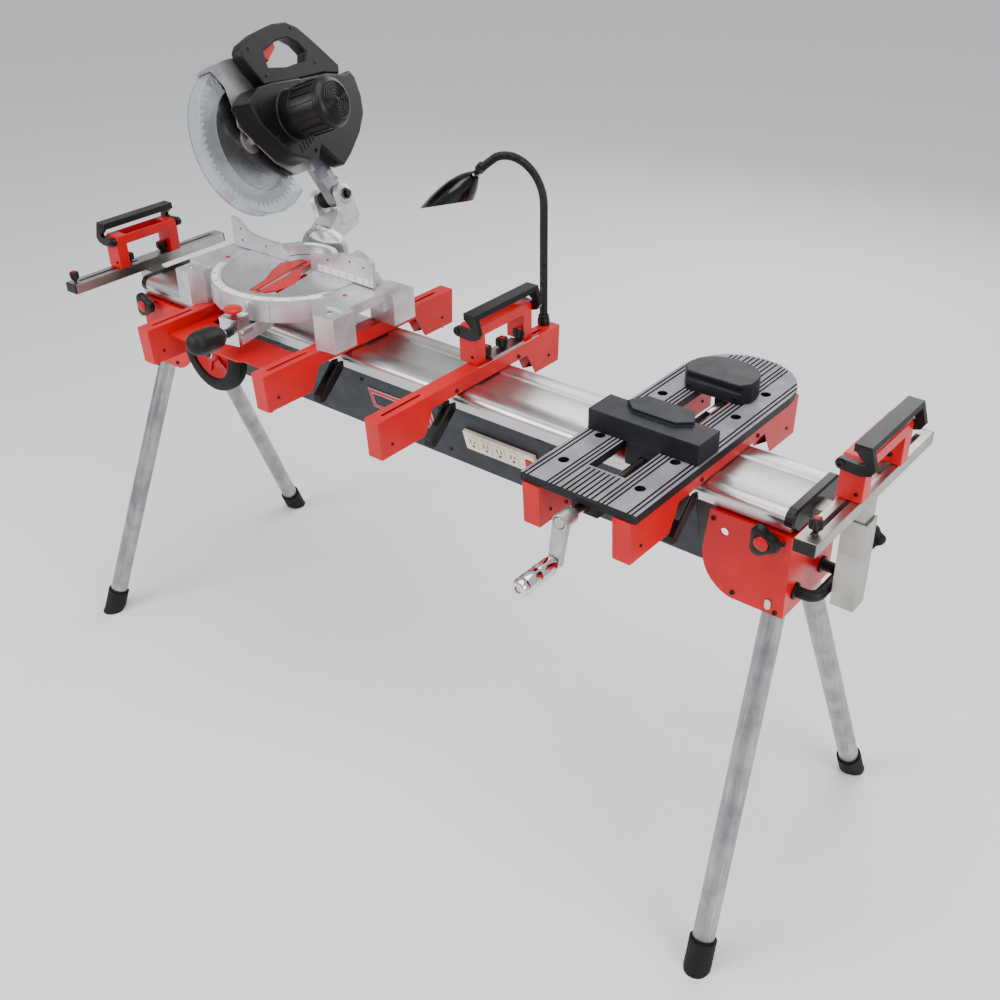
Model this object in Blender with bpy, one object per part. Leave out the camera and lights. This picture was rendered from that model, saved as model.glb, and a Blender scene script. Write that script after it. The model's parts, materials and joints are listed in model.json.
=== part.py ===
"""Mitre saw on a folding stand: beam, legs, sliding mounts, vise, lamp and compound mitre saw.

Metres, +X along the beam towards the vise, -Y towards the user, +Z up, floor at z = 0.
"""
import math

import bmesh
import bpy
from mathutils import Matrix, Vector

# ---------------------------------------------------------------- driving dimensions
GAP = 0.0005                      # running gap between neighbouring pieces
ORIGIN_SHIFT = (-0.0035, 0.0444, 0.0)    # puts the frame's origin under the middle of the whole object

BEAM_HALF = 0.782                 # half the beam's length
BEAM_WIDE = 0.078                 # half the beam's width
BEAM_TOP = 0.7865
BEAM_LOW = 0.7450

CHANNEL_TOP = 0.8150              # work height of every cross channel
CHANNEL_WIDE = 0.0325
CHANNEL_FRONT = -0.286
CHANNEL_REAR = 0.228
CHANNEL_DEEP = 0.0735             # depth of a channel's ends
SHEET = 0.0025                    # thickness of the folded sheet steel
CHANNEL_X = {"saw_channel_left": -0.496, "saw_channel_right": -0.165, "support_channel": 0.118,
             "vise_channel_left": 0.452, "vise_channel_right": 0.617}

LEG_PIVOT = (0.763, 0.0480, 0.612)
FOOT_POINT = (0.8155, 0.297, 0.0)
LEG_RADIUS = 0.019
FOOT_RADIUS = 0.0235
BRACKET_IN = 0.640                # inner edge of a leg bracket
BRACKET_OUT = 0.790
BRACKET_LOW = 0.586
BRACKET_PLATE = 0.0800            # outer face of a bracket's side plate

WHEEL_RADIUS = 0.086
WHEEL_HUB = (-0.512, 0.700)       # x and z of the axle
WHEEL_NEAR = 0.095                # inner face of a wheel, from the middle plane
WHEEL_THICK = 0.036

TUBE = 0.019                      # height of the flat extension tube
SLEEVE = 0.0385
POST = 0.031
RAIL_WIDE = 0.034
RAIL_HIGH = 0.021
RAIL_HALF = 0.201
RAIL_X = {"left": -0.850, "right": 0.857}
SLEEVE_TOP = 0.770
SLEEVE_LOW = 0.611
RAIL_LIFT = {"left": 0.006, "right": 0.0365}
RAIL_Y = {"left": -0.006, "right": 0.010}
SUPPORT_Y = {"left": -0.012, "right": 0.022}
MIDDLE_SUPPORT = (0.105, 0.060)   # x and y of the support on the middle channel

SUPPORT_HALF = 0.081              # half the length of a work support along Y
SUPPORT_HIGH = 0.072
SUPPORT_THICK = 0.040
STOP_PIVOT = (-0.0155, 0.062)     # the flip stop's pivot, beside and above the middle of its rail

TABLE = (-0.345, -0.012, 0.890)   # middle of the saw's turntable, on its top face
MITRE = math.radians(12.0)        # the turntable stands turned this far
BEVEL = math.radians(-21.0)       # the head leans this far to the left
TABLE_RADIUS = 0.146
PIVOT = (0.187, 0.087)            # chop pivot, along and above the bevel axis
ARBOR = (0.020, 0.253)            # blade axis with the head raised
BLADE_RADIUS = 0.127
GUARD_RADIUS = 0.1478

VISE_LEFT, VISE_RIGHT = 0.431, 0.640
VISE_FRONT, VISE_SIDE_END, VISE_REAR = -0.283, 0.178, 0.286
VISE_TOP = 0.8305
SCREW_X, SCREW_Z = 0.5355, 0.8000

RED = ("red enamel", (0.80, 0.02, 0.025), 0.32, 0.0)
SILVER = ("satin aluminium", (0.72, 0.71, 0.70), 0.34, 1.0)
STEEL = ("bright steel", (0.62, 0.61, 0.62), 0.28, 1.0)
CHROME = ("chrome", (0.80, 0.80, 0.80), 0.08, 1.0)
BLACK = ("black plastic", (0.012, 0.012, 0.014), 0.42, 0.0)
SLATE = ("dark painted steel", (0.03, 0.035, 0.045), 0.45, 0.0)
RUBBER = ("black rubber", (0.01, 0.01, 0.01), 0.75, 0.0)
CAST = ("cast aluminium", (0.60, 0.60, 0.61), 0.42, 1.0)
BEIGE = ("beige plastic", (0.83, 0.75, 0.63), 0.45, 0.0)
MAUVE = ("grey cast top", (0.30, 0.28, 0.31), 0.45, 0.3)
CLEAR = ("clear plastic", (0.75, 0.76, 0.78), 0.12, 0.0)


# ---------------------------------------------------------------- scene helpers
def clear_scene():
    for obj in list(bpy.data.objects):
        bpy.data.objects.remove(obj, do_unlink=True)


def finish_of(finish):
    """One Principled material for each named finish."""
    name, colour, roughness, metallic = finish
    material = bpy.data.materials.get(name)
    if material is None:
        material = bpy.data.materials.new(name)
        material.use_nodes = True
        shader = material.node_tree.nodes["Principled BSDF"]
        shader.inputs["Base Color"].default_value = (*colour, 1.0)
        shader.inputs["Roughness"].default_value = roughness
        shader.inputs["Metallic"].default_value = metallic
    return material


def empty(name, parent=None, location=(0, 0, 0), rotation=(0, 0, 0)):
    """A frame that other pieces are placed in."""
    obj = bpy.data.objects.new(name, None)
    bpy.context.scene.collection.objects.link(obj)
    obj.parent = parent
    obj.location = location
    obj.rotation_euler = rotation
    return obj


def piece(name, shape, finish, frame, pivot=(0, 0, 0), smooth=True):
    """Turn a bmesh drawn in a frame's axes into a named object with its origin on its pivot."""
    bmesh.ops.remove_doubles(shape, verts=shape.verts, dist=1e-6)
    bmesh.ops.dissolve_degenerate(shape, edges=shape.edges, dist=1e-6)
    bmesh.ops.recalc_face_normals(shape, faces=shape.faces)
    bmesh.ops.translate(shape, verts=shape.verts, vec=-Vector(pivot))
    mesh = bpy.data.meshes.new(name)
    shape.to_mesh(mesh)
    shape.free()
    mesh.materials.append(finish_of(finish))
    if smooth:
        mesh.shade_smooth()
        mesh.set_sharp_from_angle(angle=math.radians(35))
    obj = bpy.data.objects.new(name, mesh)
    bpy.context.scene.collection.objects.link(obj)
    obj.parent = frame
    obj.location = pivot
    return obj


# ---------------------------------------------------------------- shape helpers
def arc(cx, cy, radius, start, end, steps):
    """Points on an arc, angles in degrees."""
    points = []
    for k in range(steps + 1):
        angle = math.radians(start + (end - start) * k / steps)
        points.append((cx + radius * math.cos(angle), cy + radius * math.sin(angle)))
    return points


def prism(outline, axis, low, high):
    """Extrude a closed outline along X (points y, z), Y (points x, z) or Z (points x, y)."""
    place = {"X": lambda a, b, c: (c, a, b), "Y": lambda a, b, c: (a, c, b), "Z": lambda a, b,
             c: (a, b, c)}[axis]
    shape = bmesh.new()
    lower = [shape.verts.new(place(a, b, low)) for a, b in outline]
    upper = [shape.verts.new(place(a, b, high)) for a, b in outline]
    shape.faces.new(lower)
    shape.faces.new(list(reversed(upper)))
    count = len(outline)
    for k in range(count):
        n = (k + 1) % count
        shape.faces.new((lower[k], upper[k], upper[n], lower[n]))
    bmesh.ops.recalc_face_normals(shape, faces=shape.faces)
    return shape


def block(x0, x1, y0, y1, z0, z1):
    return prism([(x0, y0), (x1, y0), (x1, y1), (x0, y1)], "Z", z0, z1)


def turned(profile, start, along, sides=24):
    """Spin a closed outline of (radius, distance) points about the line from start along a direction."""
    shape = bmesh.new()
    along = Vector(along).normalized()
    turn = along.to_track_quat("Z", "Y").to_matrix().to_4x4()
    place = Matrix.Translation(Vector(start)) @ turn
    rings = []
    for radius, distance in profile:
        if radius < 1e-7:
            rings.append([shape.verts.new(place @ Vector((0, 0, distance)))])
            continue
        ring = []
        for k in range(sides):
            angle = 2 * math.pi * k / sides
            ring.append(shape.verts.new(place @ Vector((radius * math.cos(angle), radius * math.sin(angle),
                                                        distance))))
        rings.append(ring)
    closed = len(rings[0]) > 1 and len(rings[-1]) > 1
    pairs = list(zip(rings, rings[1:])) + ([(rings[-1], rings[0])] if closed else [])
    for ring_a, ring_b in pairs:
        for k in range(sides):
            n = (k + 1) % sides
            corners = [ring_a[k % len(ring_a)], ring_a[n % len(ring_a)], ring_b[n % len(ring_b)],
                       ring_b[k % len(ring_b)]]
            unique = list(dict.fromkeys(corners))
            if len(unique) >= 3:
                shape.faces.new(unique)
    bmesh.ops.recalc_face_normals(shape, faces=shape.faces)
    return shape


def rod(start, end, radius, sides=24):
    length = (Vector(end) - Vector(start)).length
    return turned([(0, 0), (radius, 0), (radius, length), (0, length)], start, Vector(end) - Vector(start),
                  sides)


def pipe(start, end, outer, inner, sides=24):
    length = (Vector(end) - Vector(start)).length
    profile = [(inner, 0), (outer, 0), (outer, length), (inner, length)]
    return turned(profile, start, Vector(end) - Vector(start), sides)


def bent_bar(path, radius, sides=12):
    """A round bar along a list of points, mitred at each bend."""
    shape = bmesh.new()
    points = [Vector(p) for p in path]
    rings = []
    side = None
    for k, point in enumerate(points):
        ahead = (points[min(k + 1, len(points) - 1)] - point)
        behind = (point - points[max(k - 1, 0)])
        tangent = (ahead.normalized() if ahead.length else Vector()) + (behind.normalized()
                                                                        if behind.length else Vector())
        tangent.normalize()
        if side is None:
            side = tangent.orthogonal().normalized()
        side = (side - tangent * side.dot(tangent)).normalized()
        other = tangent.cross(side)
        ring = []
        for j in range(sides):
            angle = 2 * math.pi * j / sides
            ring.append(shape.verts.new(point + (side * math.cos(angle) + other * math.sin(angle)) * radius))
        rings.append(ring)
    for ring_a, ring_b in zip(rings, rings[1:]):
        for j in range(sides):
            n = (j + 1) % sides
            shape.faces.new((ring_a[j], ring_a[n], ring_b[n], ring_b[j]))
    shape.faces.new(rings[0])
    shape.faces.new(list(reversed(rings[-1])))
    bmesh.ops.recalc_face_normals(shape, faces=shape.faces)
    return shape


def temporary(shape):
    mesh = bpy.data.meshes.new("temporary")
    shape.to_mesh(mesh)
    shape.free()
    obj = bpy.data.objects.new("temporary", mesh)
    bpy.context.scene.collection.objects.link(obj)
    return obj


def combine(base, others, operation):
    """Boolean a bmesh with others, one at a time, and return a new bmesh."""
    for other in others:
        body = temporary(base)
        tool = temporary(other)
        modifier = body.modifiers.new("combine", "BOOLEAN")
        modifier.operation = operation
        modifier.object = tool
        bpy.context.view_layer.update()
        result = bmesh.new()
        result.from_mesh(body.evaluated_get(bpy.context.evaluated_depsgraph_get()).to_mesh())
        bpy.data.objects.remove(body, do_unlink=True)
        bpy.data.objects.remove(tool, do_unlink=True)
        bmesh.ops.remove_doubles(result, verts=result.verts, dist=1e-6)
        base = result
    return base


def join(*shapes):
    return combine(shapes[0], shapes[1:], "UNION")


def cut(shape, *tools):
    return combine(shape, tools, "DIFFERENCE")


def flip_x(points):
    return [(-x, y) for x, y in points]


def star(radius, waist, lobes, steps=3):
    """Outline of a lobed hand knob about the origin."""
    points = []
    for k in range(lobes):
        middle = 360.0 * k / lobes
        for j in range(steps + 1):
            angle = math.radians(middle - 22 + 44 * j / steps)
            points.append((radius * math.cos(angle), radius * math.sin(angle)))
        angle = math.radians(middle + 180.0 / lobes)
        points.append((waist * math.cos(angle), waist * math.sin(angle)))
    return points


def move(points, x, y):
    return [(x + a, y + b) for a, b in points]


# ---------------------------------------------------------------- stand
def beam_outline():
    """Half the beam's section: bullnose edge, land, and the shallow recess down the middle."""
    half = [(0.060, BEAM_LOW), (0.073, BEAM_LOW + 0.004)]
    half += arc(BEAM_WIDE - 0.016, BEAM_TOP - 0.0165, 0.016, -35, 90, 6)
    half += [(0.034, BEAM_TOP), (0.031, BEAM_TOP - 0.003)]
    return half + [(-y, z) for y, z in reversed(half)]


def main_beam(frame):
    beam = prism(beam_outline(), "X", -BEAM_HALF, BEAM_HALF)
    tunnel = block(-BEAM_HALF - 0.01, BEAM_HALF + 0.01, -0.052, 0.052, BEAM_LOW + 0.004, BEAM_LOW + 0.0255)
    piece("main_beam", cut(beam, tunnel), SILVER, frame)


def under_housing(frame):
    outline = [(-0.062, BEAM_LOW - GAP), (-0.020, 0.600), (0.020, 0.600), (0.062, BEAM_LOW - GAP)]
    trough = prism(outline, "X", -0.610, 0.610)
    hollow = prism([(-0.057, 0.80), (-0.057, BEAM_LOW - 0.004), (-0.0175, 0.603), (0.0175, 0.603),
                    (0.057, BEAM_LOW - 0.004), (0.057, 0.80)], "X", -0.607, 0.607)
    outer = WHEEL_NEAR + WHEEL_THICK + 0.004
    axle = rod((WHEEL_HUB[0], -outer, WHEEL_HUB[1]), (WHEEL_HUB[0], outer, WHEEL_HUB[1]), 0.0075, 16)
    piece("under_housing", join(cut(trough, hollow), axle), SLATE, frame)


def bracket_outline():
    """Side plate of the right leg bracket: square outer edge, round inner lower corner."""
    top = BEAM_LOW - GAP
    points = [(BRACKET_IN + 0.008, top), (BRACKET_IN, 0.668)]
    points += arc(BRACKET_IN + 0.072, 0.664, 0.072, 182, 256, 7)
    points += [(BRACKET_OUT, BRACKET_LOW + 0.008), (BRACKET_OUT, top)]
    return points


def leg_bracket(frame, side):
    sign = 1 if side == "right" else -1
    outline = bracket_outline() if sign > 0 else flip_x(bracket_outline())
    top = BEAM_LOW - GAP
    plates = [prism(outline, "Y", y, y + 0.003) for y in (-BRACKET_PLATE, BRACKET_PLATE - 0.003)]
    ends = sorted((sign * (BRACKET_OUT - 0.003), sign * BRACKET_OUT))
    spans = sorted((sign * (BRACKET_IN + 0.012), sign * (BRACKET_OUT - 0.001)))
    wall = block(*ends, -BRACKET_PLATE + 0.001, BRACKET_PLATE - 0.001, BRACKET_LOW + 0.0085, top - 0.0003)
    roof = block(*spans, -BRACKET_PLATE + 0.001, BRACKET_PLATE - 0.001, top - 0.0035, top - 0.0004)
    slot = prism(move(arc(0, 0, 0.007, 0, 330, 11), sign * 0.676, 0.712), "Y", -0.1, 0.1)
    piece("leg_bracket_" + side, cut(join(plates[0], wall, plates[1], roof), slot), RED, frame)


def leg(frame, side, end):
    """One splayed leg, hinged on a tilted axis so that it folds flat under the beam."""
    sx = 1 if side == "right" else -1
    sy = 1 if end == "rear" else -1
    pivot = Vector((sx * LEG_PIVOT[0], sy * LEG_PIVOT[1], LEG_PIVOT[2]))
    foot = Vector((sx * FOOT_POINT[0], sy * FOOT_POINT[1], FOOT_POINT[2]))
    along = (foot - pivot).normalized()
    length = (foot - pivot).length
    top = pivot - along * 0.009
    shin = foot - along * 0.0135
    tube = pipe(shin, top, LEG_RADIUS, LEG_RADIUS - 0.002, 20)
    name = "leg_%s_%s" % (end, side)
    obj = piece(name, tube, STEEL, frame, pivot)
    depth = 0.046
    start = foot + along * 0.03
    boot = turned([(0, 0), (FOOT_RADIUS, 0), (FOOT_RADIUS, depth + 0.03), (LEG_RADIUS + GAP, depth + 0.03),
                   (LEG_RADIUS + GAP, 0.0430), (0, 0.0430)], start, -along, 20)
    boot = cut(boot, block(foot.x - 0.1, foot.x + 0.1, foot.y - 0.1, foot.y + 0.1, -0.1, 0.0))
    rubber = piece("foot_%s_%s" % (end, side), boot, RUBBER, frame, pivot)
    return obj, rubber, length


def wheel(frame, name, sign):
    """Tyre and hub turned as one about the axle."""
    half = WHEEL_THICK / 2
    profile = [(0.0080, -0.014), (0.020, -0.014), (0.020, -0.006), (0.058, -0.006), (0.058, -half + 0.003),
               (0.064, -half), (0.078, -half), (0.084, -half + 0.006), (WHEEL_RADIUS, -0.006),
               (WHEEL_RADIUS, 0.006),
               (0.084, half - 0.006), (0.078, half), (0.064, half), (0.058, half - 0.003), (0.058, 0.006),
               (0.020, 0.006), (0.020, 0.014), (0.0080, 0.014)]
    middle = (WHEEL_HUB[0], sign * (WHEEL_NEAR + half), WHEEL_HUB[1])
    piece(name, turned(profile, middle, (0, 1, 0), 32), RUBBER, frame, middle)


def hand_knob(name, frame, centre, along, radius=0.028, stem=0.020, lobes=4, finish=BLACK):
    """Star knob on a short stud; centre is where the stud meets what it tightens."""
    turn = Vector(along).normalized().to_track_quat("Z", "Y").to_matrix().to_4x4()
    place = Matrix.Translation(Vector(centre)) @ turn
    head = prism(star(radius, radius * 0.66, lobes), "Z", stem, stem + 0.020)
    stud = rod((0, 0, 0), (0, 0, stem + 0.005), 0.006, 12)
    shape = join(head, stud)
    bmesh.ops.transform(shape, matrix=place, verts=shape.verts)
    piece(name, shape, finish, frame, centre)


def carry_handle(frame):
    """Black U-shaped grip on the outer face of the right bracket."""
    x0, x1, z, half = BRACKET_OUT + GAP, 0.8255, 0.630, 0.046
    corner = 0.018
    path = [(x0, -half, z)]
    path += [(x, y, z) for x, y in arc(x1 - corner, -half + corner, corner, -90, 0, 4)]
    path += [(x, y, z) for x, y in arc(x1 - corner, half - corner, corner, 0, 90, 4)]
    path += [(x0, half, z)]
    piece("carry_handle", bent_bar(path, 0.0095, 12), BLACK, frame)


def power_strip(frame):
    """Outlet strip on the housing's sloping front face."""
    slope = Vector((0, 0.042, -0.144)).normalized()
    out = Vector((0, slope.z, -slope.y))
    top = Vector((0, -0.062, BEAM_LOW - GAP)) + slope * 0.048

    def at(x, down, proud):
        return Vector((x, 0, 0)) + top + slope * down + out * proud

    def slab(x0, x1, d0, d1, p0, p1):
        shape = bmesh.new()
        corners = [shape.verts.new(at(x, d, p)) for p in (p0, p1) for x, d in ((x0, d0), (x1, d0), (x1, d1),
                                                                               (x0, d1))]
        for quad in ((0, 1, 2, 3), (7, 6, 5, 4), (0, 4, 5, 1), (1, 5, 6, 2), (2, 6, 7, 3), (3, 7, 4, 0)):
            shape.faces.new([corners[k] for k in quad])
        bmesh.ops.recalc_face_normals(shape, faces=shape.faces)
        return shape

    body = cut(slab(0.116, 0.280, 0.0, 0.044, GAP, 0.009), slab(0.259, 0.275, 0.012, 0.032, 0.0018, 0.02))
    piece("power_strip", body, BEIGE, frame)
    rocker = slab(0.2598, 0.2742, 0.0134, 0.0306, 0.0046, 0.0115)
    centre = at(0.267, 0.022, 0.006)
    spin = Matrix.Translation(centre) @ Matrix.Rotation(math.radians(-6.0), 4,
                                                        "X") @ Matrix.Translation(-centre)
    bmesh.ops.transform(rocker, matrix=spin, verts=rocker.verts)
    piece("rocker_switch", rocker, RED, frame, centre)


def extension(frame, side):
    """Square tube that slides out of the beam, ending in an upright sleeve."""
    sign = 1 if side == "right" else -1
    x = RAIL_X[side]
    z0 = BEAM_LOW + 0.0055
    low, high = sorted((x - sign * 0.700, x))
    tube = block(low, high, -0.0180, 0.0180, z0, z0 + TUBE)
    half = SLEEVE / 2
    sleeve = block(x - half, x + half, -half, half, SLEEVE_LOW, SLEEVE_TOP)
    bore = POST / 2 + 0.0006
    inner_low, inner_high = sorted((x - sign * 0.71, x - sign * (half + 0.004)))
    shape = cut(join(sleeve, tube), block(x - bore, x + bore, -bore, bore, SLEEVE_LOW - 0.01,
                                          SLEEVE_TOP + 0.01),
                block(inner_low, inner_high, -0.0155, 0.0155, z0 + 0.0025, z0 + TUBE - 0.0025))
    piece("extension_" + side, shape, STEEL, frame)


def rail(frame, side):
    """Cross rail with a long slot, on the square post that rises out of the sleeve."""
    x = RAIL_X[side]
    z = SLEEVE_TOP + 0.0006 + RAIL_LIFT[side]
    half = RAIL_WIDE / 2
    y = RAIL_Y[side]
    bar = block(x - half, x + half, y - RAIL_HALF, y + RAIL_HALF, z, z + RAIL_HIGH)
    post_low = SLEEVE_LOW + 0.012 + RAIL_LIFT[side]
    post = block(x - POST / 2, x + POST / 2, -POST / 2, POST / 2, post_low, z + 0.002)
    slots = []
    for a, b in ((-0.182, -0.030), (0.030, 0.182)):
        slots.append(block(x - 0.004, x + 0.004, y + a, y + b, z + 0.006, z + RAIL_HIGH + 0.01))
    piece("rail_" + side, cut(join(bar, post), *slots), STEEL, frame)
    return z + RAIL_HIGH


def support(frame, name, x, y, z):
    """Inverted U bracket that stands on a rail, with pivot ears for the flip stop."""
    t = SUPPORT_THICK / 2
    top = z + SUPPORT_HIGH
    half = SUPPORT_HALF
    outline = [(-half, z + GAP), (-half + 0.026, z + GAP), (-half + 0.026, top - 0.020), (half - 0.026,
                                                                                          top - 0.020),
               (half - 0.026, z + GAP), (half, z + GAP), (half, top - 0.006), (half - 0.006, top),
               (-half + 0.006, top), (-half, top - 0.006)]
    body = prism(move(outline, y, 0), "X", x - t, x + t)
    pocket = block(x - t + 0.004, x + t - 0.004, y - half + 0.03, y + half - 0.03, top - 0.012, top + 0.01)
    piece("support_" + name, cut(body, pocket), RED, frame, (x, y, z))


def flip_stop(frame, name, x, y, z, sign):
    """Black angle bar over the support on two hooked arms that hinge on the support's ends."""
    axis_x = x + sign * STOP_PIVOT[0]
    axis_z = z + STOP_PIVOT[1]
    half = SUPPORT_HALF + GAP
    hook = arc(0, 0, 0.009, 90, 270, 6) + [(0.030, -0.011), (0.046, -0.006), (0.052, 0.004), (0.043, 0.034),
                                           (0.020, 0.036),
                                          (0.020, 0.026), (0.036, 0.010), (0.030, 0.006)]
    section = [(0.016, 0.0255), (0.040, 0.0255), (0.044, 0.030), (0.042, 0.0385), (0.016, 0.0385)]
    hook = [(sign * a, b) for a, b in hook]
    section = [(sign * a, b) for a, b in section]
    arms = []
    for end in (-1, 1):
        low, high = sorted((y + end * half, y + end * (half + 0.010)))
        arms.append(prism(move(hook, axis_x, axis_z), "Y", low, high))
    bar = prism(move(section, axis_x, axis_z), "Y", y - half - 0.0095, y + half + 0.0095)
    piece("stop_" + name, join(bar, *arms), BLACK, frame, (axis_x, y, axis_z))


def channel(frame, name, rear_step=0.115, rear=CHANNEL_REAR):
    """Cross channel of folded sheet: deep ends, shallow middle over the beam, open underneath."""
    x = CHANNEL_X[name]
    half = CHANNEL_WIDE / 2
    low = CHANNEL_TOP - CHANNEL_DEEP
    mid = BEAM_TOP + 0.001
    outline = [(CHANNEL_FRONT, CHANNEL_TOP), (CHANNEL_FRONT + 0.004, low), (-0.175, low), (-0.151, mid),
               (rear_step, mid), (rear_step + 0.025, low), (rear - 0.004, low), (rear, CHANNEL_TOP)]
    body = prism(outline, "X", x - half, x + half)
    roof = CHANNEL_TOP - 0.003
    inner = [(CHANNEL_FRONT + 0.003, roof), (CHANNEL_FRONT + 0.0067, low - 0.05), (rear - 0.0067,
                                                                                   low - 0.05),
             (rear - 0.003, roof)]
    hollow = prism(inner, "X", x - half + SHEET, x + half - SHEET)
    slots = [block(x - 0.003, x + 0.003, a, b, roof - 0.01, CHANNEL_TOP + 0.01) for a,
             b in ((-0.262, -0.165), (0.110, rear - 0.038))]
    piece(name, cut(body, hollow, *slots), RED, frame)


def saw_mount_plate(frame):
    """Frame plate that ties the two saw channels together around the beam."""
    left = CHANNEL_X["saw_channel_left"] + CHANNEL_WIDE / 2 + GAP
    right = CHANNEL_X["saw_channel_right"] - CHANNEL_WIDE / 2 - GAP
    z = BEAM_TOP + 0.003
    front = [(left, -0.240), (right - 0.095, -0.240), (right - 0.085, -0.232), (right, -0.232)]
    front += [(right, 0.165), (left, 0.165)]
    plate = prism(front, "Z", z, z + 0.004)
    piece("saw_mount_plate", cut(plate, block(left + 0.020, right - 0.020, -0.150, 0.135, z - 0.01,
                                              z + 0.02)), RED, frame)


def release_lever(frame, name, x):
    """Forked black lever under a channel that frees it from the beam's front edge."""
    outline = [(-0.084, 0.769), (-0.097, 0.771), (-0.151, 0.718), (-0.153, 0.706), (-0.142, 0.702),
               (-0.084, 0.755)]
    body = prism(outline, "X", x - 0.010, x + 0.010)
    gap = prism([(-0.080, 0.790), (-0.130, 0.742), (-0.130, 0.695), (-0.080, 0.740)], "X", x - 0.005,
                x + 0.005)
    piece(name, cut(body, gap), BLACK, frame, (x, -0.090, 0.763))


# ---------------------------------------------------------------- lamp
LAMP_FOOT = (0.108, 0.199)
LAMP_HINGE = (-0.052, 0.199, 1.078)
NECK_DOWN = (-0.69, 0.0, -0.72)   # direction in which the neck ends


def lamp_neck(frame):
    """Flexible neck in one plane over the rear of the middle channel, ending in a flat tongue."""
    x, y = LAMP_FOOT
    down = Vector(NECK_DOWN).normalized()
    hinge = Vector(LAMP_HINGE)
    path = [(x, y, CHANNEL_TOP + GAP), (x + 0.001, y, 0.880), (x, y, 0.950), (x - 0.001, y, 1.020)]
    path += [(px, y, pz) for px, pz in arc(x - 0.077, 1.048, 0.077, 2, 118, 8)]
    path += [tuple(hinge - down * 0.010)]
    neck = bent_bar(path, 0.0075, 10)
    foot = (x, y, CHANNEL_TOP + GAP)
    collar = turned([(0, 0), (0.0120, 0), (0.0120, 0.014), (0.009, 0.018), (0, 0.018)], foot, (0, 0, 1), 16)
    back = hinge - down * 0.013
    side = Vector((-down.z, 0, down.x)) * 0.0055
    tongue = arc(hinge.x, hinge.z, 0.0055, 226 - 90, 226 + 90, 6)
    tongue += [(back.x + side.x, back.z + side.z), (back.x - side.x, back.z - side.z)]
    ends = [Vector((a, 0, b)) for a, b in tongue]
    if (ends[6] - ends[7]).length > (ends[6] - ends[8]).length:
        tongue[7], tongue[8] = tongue[8], tongue[7]
    piece("lamp_neck", join(collar, neck, prism(tongue, "Y", y - 0.0020, y + 0.0020)), BLACK, frame, foot)


def lamp_shade(frame):
    """Bell along the neck's end, cut slantwise into a hood, with a clevis on top."""
    down = Vector(NECK_DOWN).normalized()
    hinge = Vector(LAMP_HINGE)
    start = hinge + down * 0.0075
    outside = [(0.011, 0), (0.016, 0.010), (0.023, 0.026), (0.030, 0.050), (0.0350, 0.080), (0.0380, 0.110),
               (0.0390, 0.180)]
    inside = [(radius - 0.002, distance + 0.0015) for radius, distance in reversed(outside[1:-1])]
    profile = [(0, 0)] + outside + [(0.0370, 0.180)] + inside + [(0, 0.006)]
    bell = turned(profile, start, down, 24)
    away = Vector((0.289, -0.154, -0.943)).normalized()
    knife = block(-0.3, 0.3, -0.3, 0.3, 0.0, 0.3)
    turn = away.to_track_quat("Z", "Y").to_matrix().to_4x4()
    rim = Vector((-0.1215, hinge.y, 1.006))
    bmesh.ops.transform(knife, matrix=Matrix.Translation(rim) @ turn, verts=knife.verts)
    ears = []
    side = Vector((-down.z, 0, down.x)) * 0.0060
    far = start + down * 0.003
    for low, high in ((-0.0062, -0.0026), (0.0026, 0.0062)):
        ear = [hinge - down * 0.004 + side * 0.6, hinge - down * 0.004 - side * 0.6, hinge - side,
               far - side, far + side, hinge + side]
        ears.append(prism([(v.x, v.z) for v in ear], "Y", hinge.y + low, hinge.y + high))
    piece("lamp_shade", join(cut(bell, knife), *ears), BLACK, frame, tuple(hinge))


# ---------------------------------------------------------------- vise
def vise_table(frame):
    """Cast top with a round rear end, two rows of bench holes and a long opening."""
    middle = (VISE_LEFT + VISE_RIGHT) / 2
    half = (VISE_RIGHT - VISE_LEFT) / 2
    deep = VISE_REAR - VISE_SIDE_END
    rear = [(middle + half * c, VISE_SIDE_END + deep * s) for c, s in arc(0, 0, 1, 0, 180, 14)]
    outline = [(VISE_LEFT, VISE_FRONT), (VISE_RIGHT, VISE_FRONT)] + rear
    base = CHANNEL_TOP + GAP
    top = prism(outline, "Z", base, VISE_TOP)
    tools = [block(middle - 0.034, middle + 0.034, -0.205, 0.150, base - 0.01, VISE_TOP + 0.01)]
    for x in (middle - 0.073, middle + 0.067):
        for y in (-0.216, -0.119, 0.064, 0.164):
            tools.append(rod((x, y, base - 0.01), (x, y, VISE_TOP + 0.01), 0.009, 12))
    nut = block(middle - 0.024, middle + 0.024, -0.262, -0.236, SCREW_Z - 0.016, base + 0.002)
    bore = rod((SCREW_X, -0.30, SCREW_Z), (SCREW_X, -0.20, SCREW_Z), 0.0095, 16)
    rear_block = block(middle - 0.024, middle + 0.024, 0.156, 0.176, SCREW_Z - 0.016, base + 0.002)
    rear_bore = rod((SCREW_X, 0.15, SCREW_Z), (SCREW_X, 0.18, SCREW_Z), 0.0095, 16)
    piece("vise_table", cut(join(cut(top, *tools), nut, rear_block), bore, rear_bore), MAUVE, frame)


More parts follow.
